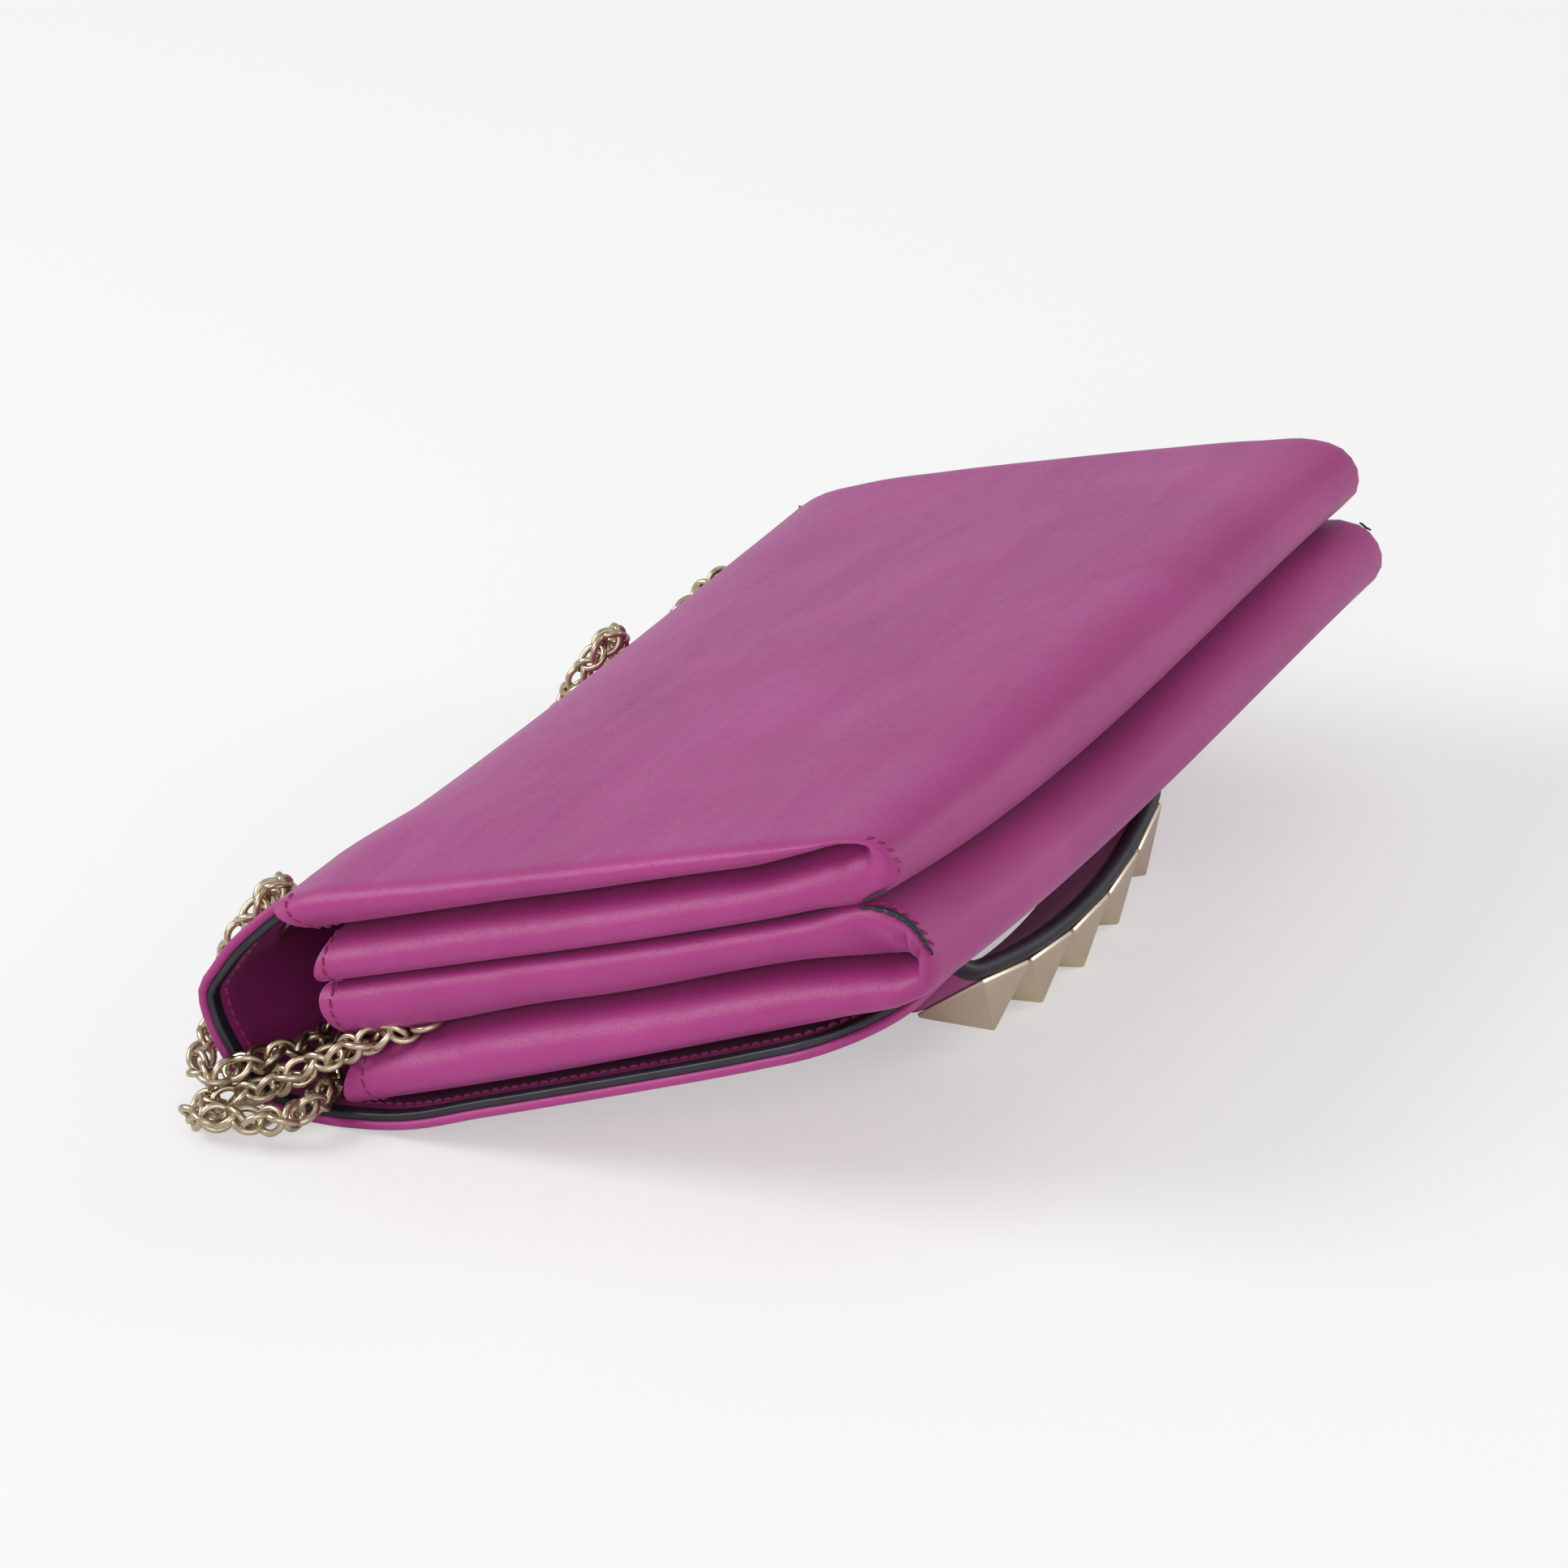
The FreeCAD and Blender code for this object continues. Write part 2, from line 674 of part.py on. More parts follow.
make_ring()
route = [Vector(*p) for p in chain_route]
edges, radii = chain_edges(route)
spine = Part.Wire(edges)
profile = Part.Wire(Part.makeCircle(chain_diameter / 2, route[0], route[1] - route[0]))
chain = spine.makePipeShell([profile], True, False)
keep("chain_strap", chain)
expected = math.pi * chain_diameter**2 / 4 * spine.Length
print("chain length %.1f, volume %.0f against %.0f" % (spine.Length, chain.Volume, expected))
print("chain radii", ", ".join("%d:%.1f/%.0f" % (i + 1, r, t) for i, (r, t) in enumerate(radii)))

# ---------------------------------------------------------------- set the bag down on the surface
lowest_stud = nodes["stud_%d" % ((stud_count + 1) // 2)].Vertexes
stud_point = min(lowest_stud, key=lambda v: v.Z).Point
fold_start = along(fold_end, belly, corner_reach(flap_path, flap_radii, 2))
fold_direction = unit(fold_end, belly)
fold_centre = (
    fold_start[0] + fold_direction[1] * fold_corner_radius,
    fold_start[1] - fold_direction[0] * fold_corner_radius,
)
to_centre = (fold_centre[0] - stud_point.y, fold_centre[1] - stud_point.z)
span = math.hypot(*to_centre)
rest_tilt = -(math.atan2(to_centre[1], to_centre[0]) - math.asin(fold_corner_radius / span))

turn = FreeCAD.Placement(Vector(), FreeCAD.Rotation(Vector(1, 0, 0), math.degrees(rest_tilt)))
for name in nodes:
    nodes[name].Placement = turn.multiply(nodes[name].Placement)
own = [shape.optimalBoundingBox(False) for name, shape in nodes.items() if not name.startswith("chain_")]
floor = min(box.ZMin for box in own)
centre_y = (min(box.YMin for box in own) + max(box.YMax for box in own)) / 2
print("tilt %.4f floor %.4f centre %.4f" % (math.degrees(rest_tilt), floor, centre_y))

os.makedirs("parts", exist_ok=True)
for name, shape in nodes.items():
    shape.translate(Vector(0, -centre_y, -floor))
    shape.exportStep("parts/" + name + ".step")
    box = shape.optimalBoundingBox(False)
    print("%-26s %8.2f mm3 %s %d" % (name, shape.Volume, shape.isValid(), len(shape.Solids)))
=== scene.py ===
# %% [markdown]
# # An accordion clutch with a studded finger bar
# A leather clutch lies on its front. Two pouches, joined like an accordion, hang from one big piece of
# leather that is the back wall and, past the fold, the flap. The flap lies underneath. An arched finger
# bar with five pyramid studs is riveted to it, and a rope chain spills out of the fold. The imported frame
# gives the place and size of everything. This file models the leather, the stitches and the chain.

# %% Load the frame
import bpy
import json
import math
from mathutils import Matrix, Vector


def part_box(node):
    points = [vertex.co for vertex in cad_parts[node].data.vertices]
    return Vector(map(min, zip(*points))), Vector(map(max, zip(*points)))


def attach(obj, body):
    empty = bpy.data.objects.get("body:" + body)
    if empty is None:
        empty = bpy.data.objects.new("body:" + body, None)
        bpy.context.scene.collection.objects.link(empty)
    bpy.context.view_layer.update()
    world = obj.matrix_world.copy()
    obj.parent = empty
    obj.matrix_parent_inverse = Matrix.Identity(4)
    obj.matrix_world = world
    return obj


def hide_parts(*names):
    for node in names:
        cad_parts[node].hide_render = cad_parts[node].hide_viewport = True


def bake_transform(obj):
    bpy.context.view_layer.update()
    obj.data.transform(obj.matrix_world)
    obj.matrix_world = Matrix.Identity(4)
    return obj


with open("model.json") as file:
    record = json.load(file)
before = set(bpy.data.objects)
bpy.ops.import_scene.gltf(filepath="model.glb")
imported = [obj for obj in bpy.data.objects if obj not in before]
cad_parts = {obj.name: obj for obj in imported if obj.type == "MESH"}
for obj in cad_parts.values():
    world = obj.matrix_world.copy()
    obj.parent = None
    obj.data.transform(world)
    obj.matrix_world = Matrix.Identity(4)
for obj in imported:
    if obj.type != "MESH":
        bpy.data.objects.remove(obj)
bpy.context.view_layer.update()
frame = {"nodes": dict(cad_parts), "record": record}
nodes = frame["nodes"]
bpy.ops.object.select_all(action="DESELECT")

# %% [markdown]
# The bag lies tilted, on the points of its studs and on the fold. It is far easier to shape leather in
# the bag's own plane, where Y is the height of the back wall and Z the depth. The mount on the back wall
# gives that plane, so one small function turns a place on the bag into a place in the frame.

# %% The bag's own plane
MOUNT_HEIGHT = 0.0785
mount = frame["record"]["mounts"][0]
out = Vector(mount["axis"])
up = Vector((0.0, out.z, -out.y))
foot = Vector(mount["pos_m"]) - up * MOUNT_HEIGHT
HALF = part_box("rear_pouch_leather")[1].x


def bag(x, y, z):
    """A place on the bag: x along its width, y up the back wall, z out of the back wall."""
    return foot + Vector((x, 0.0, 0.0)) + up * y + out * z


def placed(name, data):
    """A new object for some data, linked to the scene."""
    thing = bpy.data.objects.new(name, data)
    bpy.context.scene.collection.objects.link(thing)
    return thing


def standing(place, *axes):
    """The matrix that stands a thing at a place, with its axes along the given ones."""
    matrix = Matrix(axes).transposed().to_4x4()
    matrix.translation = place
    return matrix


print("half width %.4f, back wall leans %.2f degrees" % (HALF, math.degrees(math.acos(out.z))))

# %% [markdown]
# The camera comes first, with the chain, because the two decide what shows. It looks along the bag from
# its near bottom corner with a long lens, from a little above, and is turned slightly about its own axis.

# %% Camera
VIEW_AZIMUTH = math.radians(-62.338)
VIEW_ELEVATION = math.radians(23.274)
VIEW_ROLL = math.radians(-3.216)
VIEW_DISTANCE = 1.0996
VIEW_TARGET = Vector((0.01479, 0.01874, 0.02788))
LENS = 106.36


def aimed(azimuth, elevation, roll, distance, target):
    """The matrix of a camera that looks at a target from an azimuth and an elevation."""
    level = math.cos(elevation)
    back = Vector((math.sin(azimuth) * level, -math.cos(azimuth) * level, math.sin(elevation)))
    right = Vector((0.0, 0.0, 1.0)).cross(back).normalized()
    above = back.cross(right)
    turned = right * math.cos(roll) + above * math.sin(roll)
    return standing(target + back * distance, turned, back.cross(turned), back)


camera_data = bpy.data.cameras.new("camera")
camera_data.lens = LENS
camera_data.sensor_width = 36.0
camera_data.clip_end = 20.0
camera = placed("camera", camera_data)
camera.matrix_world = aimed(VIEW_AZIMUTH, VIEW_ELEVATION, VIEW_ROLL, VIEW_DISTANCE, VIEW_TARGET)
bpy.context.scene.camera = camera
print("camera at", [round(c, 4) for c in camera.location])

# %% [markdown]
# The chain is one fixed length of a flexible thing. Its ring hangs in the near gusset of the front pouch.
# From there it comes out of the open end of the fold, turns back in, runs to the middle of the bag and
# comes out a second time. It wraps the edge of the flap, rises over the ridge at the near corner, runs
# behind the fold, shows once more in the middle of the ridge and ends in the far eyelet. A NURBS line of
# order three along the listed points gives loose curves with no kinks. The links are set along it later.

# %% The chain's route
route = [
    (-0.1245, 0.1340, -0.0330),
    (-0.1265, 0.1410, -0.0334),
    (-0.1304, 0.1490, -0.0344),
    (-0.1318, 0.1580, -0.0368),
    (-0.1336, 0.1662, -0.0390),
    (-0.1364, 0.1734, -0.0400),
    (-0.1384, 0.1790, -0.0402),
    (-0.1390, 0.1838, -0.0398),
    (-0.1436, 0.1840, -0.0400),
    (-0.1460, 0.1786, -0.0404),
    (-0.1450, 0.1716, -0.0414),
    (-0.1454, 0.1648, -0.0428),
    (-0.1428, 0.1590, -0.0438),
    (-0.1360, 0.1570, -0.0442),
    (-0.1260, 0.1576, -0.0434),
    (-0.1040, 0.1604, -0.0426),
    (-0.0700, 0.1588, -0.0418),
    (-0.0200, 0.1614, -0.0426),
    (0.0240, 0.1596, -0.0428),
    (0.0460, 0.1616, -0.0410),
    (0.0570, 0.1644, -0.0350),
    (0.0604, 0.1660, -0.0270),
    (0.0566, 0.1654, -0.0194),
    (0.0450, 0.1634, -0.0146),
    (0.0220, 0.1626, -0.0164),
    (-0.0220, 0.1658, -0.0196),
    (-0.0660, 0.1678, -0.0246),
    (-0.0980, 0.1660, -0.0384),
    (-0.1180, 0.1660, -0.0372),
    (-0.1296, 0.1698, -0.0344),
    (-0.1352, 0.1748, -0.0338),
    (-0.1390, 0.1804, -0.0346),
    (-0.1332, 0.1862, -0.0326),
    (-0.1190, 0.1872, -0.0264),
    (-0.1138, 0.1864, -0.0184),
    (-0.1115, 0.1804, -0.0114),
    (-0.1124, 0.1732, -0.0062),
    (-0.1084, 0.1702, -0.0034),
    (-0.1010, 0.1728, -0.0052),
    (-0.0940, 0.1816, -0.0124),
    (-0.0820, 0.1890, -0.0194),
    (-0.0600, 0.1894, -0.0206),
    (-0.0300, 0.1892, -0.0202),
    (0.0000, 0.1896, -0.0208),
    (0.0200, 0.1896, -0.0214),
    (0.0350, 0.1882, -0.0206),
    (0.0392, 0.1806, -0.0134),
    (0.0378, 0.1690, -0.0030),
    (0.0408, 0.1662, -0.0014),
    (0.0452, 0.1664, -0.0014),
    (0.0530, 0.1716, -0.0050),
    (0.0620, 0.1800, -0.0116),
    (0.0680, 0.1876, -0.0188),
    (0.0790, 0.1890, -0.0216),
    (0.0884, 0.1872, -0.0202),
    (0.0958, 0.1830, -0.0162),
    (0.1010, 0.1768, -0.0106),
    (0.1042, 0.1684, -0.0072),
]


def chain_line(points):
    """Evenly read points of the smooth line that the chain follows."""
    data = bpy.data.curves.new("chain_route", "CURVE")
    data.dimensions = "3D"
    line = data.splines.new("NURBS")
    line.points.add(len(points) - 1)
    for point, place in zip(line.points, points):
        point.co = (*bag(*place), 1.0)
    line.order_u = 3
    line.use_endpoint_u = True
    line.resolution_u = 12
    holder = placed("chain_route", data)
    mesh = bpy.data.meshes.new_from_object(holder)
    places = [v.co.copy() for v in mesh.vertices]
    bpy.data.meshes.remove(mesh)
    bpy.data.objects.remove(holder)
    return places


chain_path = chain_line(route)

# %% [markdown]
# All the leather here is thin sheet that has been folded, turned and stitched. A stack of padded blocks
# would never look right, and a cloth simulation would lose the sharp creases of the gussets. So each
# sheet starts as a flat grid that is laid over smooth lines: a few stations give the line at the near
# end, at two places between and at the far end, and every other line is worked out between these.

# %% Laying a sheet of leather
HANDLE = 0.36


def curve_places(stations, shares):
    """Places on a smooth line through the stations. Each span is read at its own list of shares."""
    knots = [Vector(s) for s in stations]
    spans = [b - a for a, b in zip(knots, knots[1:])]
    turns = [spans[0].normalized()]
    for a, b in zip(spans, spans[1:]):
        turns.append((a.normalized() * b.length + b.normalized() * a.length).normalized())
    turns.append(spans[-1].normalized())
    places = [knots[0]]
    for i, reads in enumerate(shares):
        reach = spans[i].length * HANDLE
        controls = (knots[i], knots[i] + turns[i] * reach, knots[i + 1] - turns[i + 1] * reach, knots[i + 1])
        places.extend(bezier(controls, t) for t in reads)
    return places


def bezier(controls, t):
    a, b, c, d = controls
    s = 1.0 - t
    return a * s**3 + b * (3 * s * s * t) + c * (3 * s * t * t) + d * t**3


def even(steps):
    return [k / steps for k in range(1, steps + 1)]


def between(stops, u):
    """How much each of the stops counts at u, on the one smooth curve that passes through them all."""
    counts = []
    for i, a in enumerate(stops):
        count = 1.0
        for j, b in enumerate(stops):
            if i != j:
                count *= (u - b) / (a - b)
        counts.append(count)
    return counts


def section(lines, stops, u):
    """The stations of the line at u, worked out between the given lines."""
    counts = between(stops, u)
    return [sum((Vector(p) * c for p, c in zip(group, counts)), Vector((0.0, 0.0))) for group in zip(*lines)]


def laid_grid(name, rows):
    """A grid that is laid, row by row, on places given in the bag's own plane."""
    bpy.ops.object.select_all(action="DESELECT")
    bpy.ops.mesh.primitive_grid_add(x_subdivisions=len(rows[0]) - 1, y_subdivisions=len(rows) - 1, size=1)
    piece = bpy.context.object
    piece.name = name
    piece.data.name = name
    flat = [c for row in rows for p in row for c in bag(*p)]
    piece.data.vertices.foreach_set("co", flat)
    piece.data.update()
    return piece


def only(*chosen):
    """Select these pieces and no others, and make the first one active."""
    bpy.ops.object.select_all(action="DESELECT")
    for piece in chosen:
        piece.select_set(True)
    bpy.context.view_layer.objects.active = chosen[0]


def sewn(name, parts, gap=0.00003):
    """Join sheets into one and merge the points that they share."""
    only(*parts)
    if len(parts) > 1:
        bpy.ops.object.join()
    bpy.ops.object.mode_set(mode="EDIT")
    bpy.ops.mesh.select_all(action="SELECT")
    bpy.ops.mesh.remove_doubles(threshold=gap)
    bpy.ops.mesh.normals_make_consistent(inside=False)
    bpy.ops.object.mode_set(mode="OBJECT")
    piece = parts[0]
    piece.name = name
    piece.data.name = name
    return piece


def facing(piece, place, direction):
    """Turn the faces over if the one nearest to a place looks the wrong way."""
    target = bag(*place)
    nearest = min(piece.data.polygons, key=lambda f: (f.center - target).length_squared)
    wanted = bag(*direction) - bag(0, 0, 0)
    if nearest.normal.dot(wanted) < 0:
        only(piece)
        bpy.ops.object.mode_set(mode="EDIT")
        bpy.ops.mesh.select_all(action="SELECT")
        bpy.ops.mesh.flip_normals()
        bpy.ops.object.mode_set(mode="OBJECT")


def punched(piece, centre, axis, radius):
    """Make a round hole in a sheet: cut its faces smaller near the hole, then take out those inside it."""
    only(piece)
    steps = (
        (radius + 0.006, bpy.ops.mesh.subdivide, {"number_cuts": 4}),
        (radius, bpy.ops.mesh.delete, {"type": "FACE"}),
    )
    for reach, action, settings in steps:
        bpy.ops.object.mode_set(mode="EDIT")
        bpy.ops.mesh.select_mode(type="FACE")
        bpy.ops.mesh.select_all(action="DESELECT")
        bpy.ops.object.mode_set(mode="OBJECT")
        for face in piece.data.polygons:
            way = face.center - centre
            across = way - axis * way.dot(axis)
            face.select = across.length < reach and way.length < reach * 1.6
        bpy.ops.object.mode_set(mode="EDIT")
        action(**settings)
        bpy.ops.object.mode_set(mode="OBJECT")


def finished(piece, thickness=0.0):
    """Give a sheet its thickness and smooth shading."""
    only(piece)
    if thickness:
        wall = piece.modifiers.new("wall", "SOLIDIFY")
        wall.thickness = thickness
        wall.offset = -1.0
        bpy.ops.object.modifier_apply(modifier="wall")
    bpy.ops.object.shade_smooth_by_angle(angle=math.radians(50))
    print("%-26s %6d faces" % (piece.name, len(piece.data.polygons)))
    return piece


def sheet(name, parts, place, direction, thickness=0.0, holes=()):
    """A piece sewn from its parts, facing the right way, with its eyelet holes and its thickness."""
    piece = sewn(name, parts)
    facing(piece, place, direction)
    for centre in holes:
        punched(piece, centre, eyelet_axis, EYELET_HOLE)
    return finished(piece, thickness)


# %% [markdown]
# The outer leather is one piece on the real bag. It starts at the mouth of the rear pouch, goes down the
# pouch's front wall, round the bottom roll, up the back wall, over the ridge and the fold, and ends at
# the lower edge of the flap. Each line below is that way, in (height, depth), at one place on the width.

# %% The outer leather's lines
STOPS = (-1.0, -0.4, 0.3, 1.0)
near_line = [
    (0.1490, -0.0196), (0.1100, -0.0188), (0.0600, -0.0174), (0.0250, -0.0152), (0.0090, -0.0136),
    (0.0034, -0.0103), (0.0026, -0.0062), (0.0056, -0.0026), (0.0120, -0.0010), (0.0240, -0.0003),
    (0.0500, 0.0002), (0.0800, 0.0004), (0.1100, 0.0008), (0.1320, 0.0014), (0.1470, 0.0016),
    (0.1552, 0.0003), (0.1648, -0.0040), (0.1759, -0.0114), (0.1816, -0.0166), (0.1828, -0.0228),
    (0.1816, -0.0321), (0.1797, -0.0392), (0.1755, -0.0446), (0.1669, -0.0491), (0.1599, -0.0513),
    (0.1518, -0.0529), (0.1434, -0.0540), (0.1170, -0.0529), (0.0960, -0.0516), (0.0750, -0.0502),
    (0.0540, -0.0486), (0.0412, -0.0474), (0.0192, -0.0456),
]
quarter_line = [
    (0.1490, -0.0174), (0.1100, -0.0184), (0.0600, -0.0200), (0.0250, -0.0213), (0.0100, -0.0208),
    (0.0012, -0.0160), (-0.0004, -0.0105), (0.0016, -0.0045), (0.0080, -0.0010), (0.0220, 0.0008),
    (0.0500, 0.0024), (0.0800, 0.0034), (0.1100, 0.0038), (0.1320, 0.0034), (0.1450, 0.0018),
    (0.1530, -0.0010), (0.1640, -0.0056), (0.1755, -0.0138), (0.1808, -0.0184), (0.1822, -0.0240),
    (0.1814, -0.0325), (0.1795, -0.0395), (0.1753, -0.0448), (0.1667, -0.0496), (0.1597, -0.0517),
    (0.1516, -0.0531), (0.1434, -0.0540), (0.1170, -0.0529), (0.0960, -0.0514), (0.0750, -0.0497),
    (0.0540, -0.0488), (0.0411, -0.0477), (0.0192, -0.0461),
]
middle_line = [
    (0.1490, -0.0174), (0.1100, -0.0184), (0.0600, -0.0201), (0.0250, -0.0214), (0.0100, -0.0210),
    (0.0006, -0.0165), (-0.0008, -0.0110), (0.0014, -0.0050), (0.0080, -0.0014), (0.0220, 0.0006),
    (0.0500, 0.0028), (0.0800, 0.0040), (0.1100, 0.0046), (0.1320, 0.0043), (0.1465, 0.0025),
    (0.1545, -0.0004), (0.1645, -0.0056), (0.1757, -0.0140), (0.1811, -0.0188), (0.1824, -0.0245),
    (0.1816, -0.0325), (0.1796, -0.0395), (0.1753, -0.0448), (0.1667, -0.0496), (0.1597, -0.0517),
    (0.1516, -0.0531), (0.1434, -0.0540), (0.1170, -0.0529), (0.0960, -0.0514), (0.0750, -0.0497),
    (0.0540, -0.0488), (0.0411, -0.0477), (0.0192, -0.0461),
]
far_line = [
    (0.1500, -0.0174), (0.1100, -0.0184), (0.0600, -0.0200), (0.0250, -0.0216), (0.0110, -0.0214),
    (0.0012, -0.0176), (-0.0006, -0.0124), (0.0020, -0.0066), (0.0090, -0.0028), (0.0220, -0.0008),
    (0.0500, 0.0016), (0.0800, 0.0036), (0.1100, 0.0052), (0.1330, 0.0057), (0.1490, 0.0040),
    (0.1585, -0.0002), (0.1670, -0.0060), (0.1765, -0.0146), (0.1815, -0.0194), (0.1826, -0.0248),
    (0.1816, -0.0325), (0.1796, -0.0395), (0.1753, -0.0448), (0.1667, -0.0496), (0.1597, -0.0517),
    (0.1516, -0.0531), (0.1434, -0.0540), (0.1170, -0.0531), (0.0960, -0.0520), (0.0750, -0.0508),
    (0.0540, -0.0502), (0.0411, -0.0493), (0.0192, -0.0479),
]
outer_lines = (near_line, quarter_line, middle_line, far_line)
MESH_STEP = 0.0034
CORNER_STEPS = 12
CORNER_RADIUS = 0.022
RIDGE_STATION = 15


def step_shares(line, radius_steps):
    """Even steps in every span but the last, whose steps follow the round corner of the flap."""
    spans = [(Vector(b) - Vector(a)).length for a, b in zip(line, line[1:])]
    shares = [even(max(2, round(length / MESH_STEP))) for length in spans]
    if radius_steps:
        angles = [math.pi / 2 * (1 - k / radius_steps) for k in range(1, radius_steps + 1)]
        shares[-1] = [math.cos(a) for a in angles]
    return shares


outer_shares = step_shares(near_line, CORNER_STEPS)
RIDGE_ROW = sum(len(s) for s in outer_shares[:RIDGE_STATION])
LAST_ROW = sum(len(s) for s in outer_shares)
CORNER_ROW = LAST_ROW - CORNER_STEPS
COLUMNS = 60
CROWDING = 1.15
column_places = [math.sin(CROWDING * (2 * k / COLUMNS - 1)) / math.sin(CROWDING) for k in range(COLUMNS + 1)]
print("rows %d, ridge at row %d, columns %d" % (LAST_ROW + 1, RIDGE_ROW, COLUMNS + 1))

# %% [markdown]
# The sides of the sheet are not straight cuts. Along the pouch the leather turns inwards to make the
# gusset, so the sheet stops where that turn begins. Along the flap it is turned over in a narrow round
# hem. The functions below say how far in the sheet stops at each row, and which way is inwards there.
# Near the open end the ridge swells a little, and the near eyelet holds the leather down round itself.

# %% The sheet's sides
LEATHER = 0.0008
HEM = 0.0011
ROLL_AT_BACK = 0.0058
ROLL_AT_FRONT = 0.0055
SWELL_HEIGHT = 0.0015
SWELL_AT = -0.097
SWELL_WIDTH = 0.019
SWELL_ROWS = 8
HOLD_DEPTH = 0.0013
HOLD_RADIUS = 0.008
HOLD_FADE = 0.006
near_eyelet = sum(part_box("eyelet_near"), Vector()) / 2
line_cache = {}


def ease(t):
    t = max(0.0, min(1.0, t))
    return t * t * (3 - 2 * t)


def swell(x, row):
    """A soft bulge of the ridge beside its near corner, where the leather is pushed up from inside."""
    along = (x - SWELL_AT) / SWELL_WIDTH
    across = (row - RIDGE_ROW + 1) / SWELL_ROWS
    return SWELL_HEIGHT * math.exp(-(along**2) - across**2)


def held_down(x, y, z):
    """How far the near eyelet holds the leather down round it."""
    away = (bag(x, y, z) - near_eyelet).length
    return HOLD_DEPTH * (1 - ease((away - HOLD_RADIUS) / HOLD_FADE))


def outer_line(u):
    key = round(u, 5)
    if key not in line_cache:
        line = curve_places(section(outer_lines, STOPS, u), outer_shares)
        x = u * HALF
        line_cache[key] = [Vector((p.x, p.y + swell(x, row) - held_down(x, *p))) for row, p in enumerate(line)]
    return line_cache[key]


def corner_angle(row):
    """The angle round the corner of the flap: a quarter turn at its start and 0 at the lower edge."""
    return math.pi / 2 * (LAST_ROW - row) / CORNER_STEPS


def side_stop(row):
    """How far inside the bag's width the sheet stops at a row."""
    if row <= RIDGE_ROW:
        return ROLL_AT_FRONT + (ROLL_AT_BACK - ROLL_AT_FRONT) * ease(row / RIDGE_ROW * 1.6 - 0.2)
    stop = ROLL_AT_BACK + (HEM - ROLL_AT_BACK) * ease((row - RIDGE_ROW) / 5)
    if row > CORNER_ROW:
        stop += (CORNER_RADIUS - HEM) * (1 - math.sin(corner_angle(row)))
    return stop


def outer_place(u, row, depth=0.0, inset=0.0):
    """A place on the outer leather, or at a depth inside it."""
    x = u * (HALF - side_stop(row) - inset)
    line = outer_line(x / HALF)
    before, after = line[max(row - 1, 0)], line[min(row + 1, LAST_ROW)]
    along = (after - before).normalized()
    inward = Vector((along.y, -along.x))
    y, z = line[row] + inward * depth
    return Vector((x, y, z)), Vector((0.0, inward.x, inward.y)), Vector((0.0, along.x, along.y))


outer_rows = [[outer_place(u, row)[0] for u in column_places] for row in range(LAST_ROW + 1)]
outer_sheet = laid_grid("outer_sheet", outer_rows)


# %% [markdown]
# A gusset is the folded side of a pouch. Seen from the end it is two soft rolls with a deep crease
# between them. Every point of the wall's side edge is joined to the crease by a line that first swings
# out to the full width and then dives in, which makes the rolls. Towards the bottom the crease ends, and
# all the lines run together there, as the gathered leather does.

# %% Gussets
GUSSET_STEPS = 16
CREASE_DEPTH = 0.0165
ROLL_FULLNESS = 0.0005
FLARE_REACH = 0.022
GATHER_REACH = 0.012
GATHER_WAVES = (3.0, 1400, 2600)


def crease(lines, y):
    """The place of the crease at a height, held between its lower and upper ends."""
    y = max(lines[0][0], min(lines[-1][0], y))
    for (y0, z0), (y1, z1) in zip(lines, lines[1:]):
        if y <= y1:
            return y, z0 + (z1 - z0) * ease((y - y0) / (y1 - y0))
    return lines[-1]


def gusset_point(place, stop, creases, side, flare, rim_height, gather, t):
    """A point on a gusset: t is 0 at the wall's side edge and 1 in the crease."""
    y_in, z_in = crease(creases, place.y)
    swing = HALF + stop / 3 + ROLL_FULLNESS
    x = bezier((HALF - stop, swing, swing, HALF - CREASE_DEPTH), t)
    weight = 3 * (1 - t) * t * t + t**3
    lift = flare * ease((place.y - rim_height + FLARE_REACH) / FLARE_REACH)
    nearness = ease(1.4 - abs(place.y - creases[0][0]) / GATHER_REACH)
    across, upwards, outwards = GATHER_WAVES
    fold = math.sin(weight * across + place.z * outwards + place.y * upwards)
    x -= gather * nearness * weight * (1 - weight) * 4 * (0.5 + 0.5 * fold)
    y = place.y * (1 - weight) + y_in * weight + lift * 4 * t * (1 - t)
    return Vector((side * x, y, place.z * (1 - weight) + z_in * weight))


def gusset_rows(edge, stop_list, *shape):
    """The rows of one gusset, from the wall's side edge to the crease."""
    steps = [k / GUSSET_STEPS for k in range(GUSSET_STEPS + 1)]
    return [[gusset_point(place, stop, *shape, t) for t in steps] for place, stop in zip(edge, stop_list)]


def both_gussets(name, creases, edge_at, stop_list, flare, rim_height, gather):
    """The gussets at the near and the far end of a pouch, and the grids laid on them."""
    gussets, grids = {}, []
    for side in (-1, 1):
        edge = [edge_at(side, row) for row in range(len(stop_list))]
        shape = (creases[side], side, flare, rim_height, gather)
        gussets[side] = (edge, stop_list, shape)
        grids.append(laid_grid(name, gusset_rows(edge, stop_list, *shape)))
    return gussets, grids


rear_creases = {
    -1: [(0.0107, -0.0030), (0.0400, -0.0066), (0.0900, -0.0076), (0.1440, -0.0088)],
    1: [(0.0120, -0.0080), (0.0400, -0.0085), (0.1440, -0.0080)],
}
rear_stops = [side_stop(row) for row in range(RIDGE_ROW + 1)]
rear_gussets, gusset_parts = both_gussets(
    "rear_gusset", rear_creases, lambda side, row: outer_place(side, row)[0], rear_stops, 0.0022, 0.149, 0.0014
)

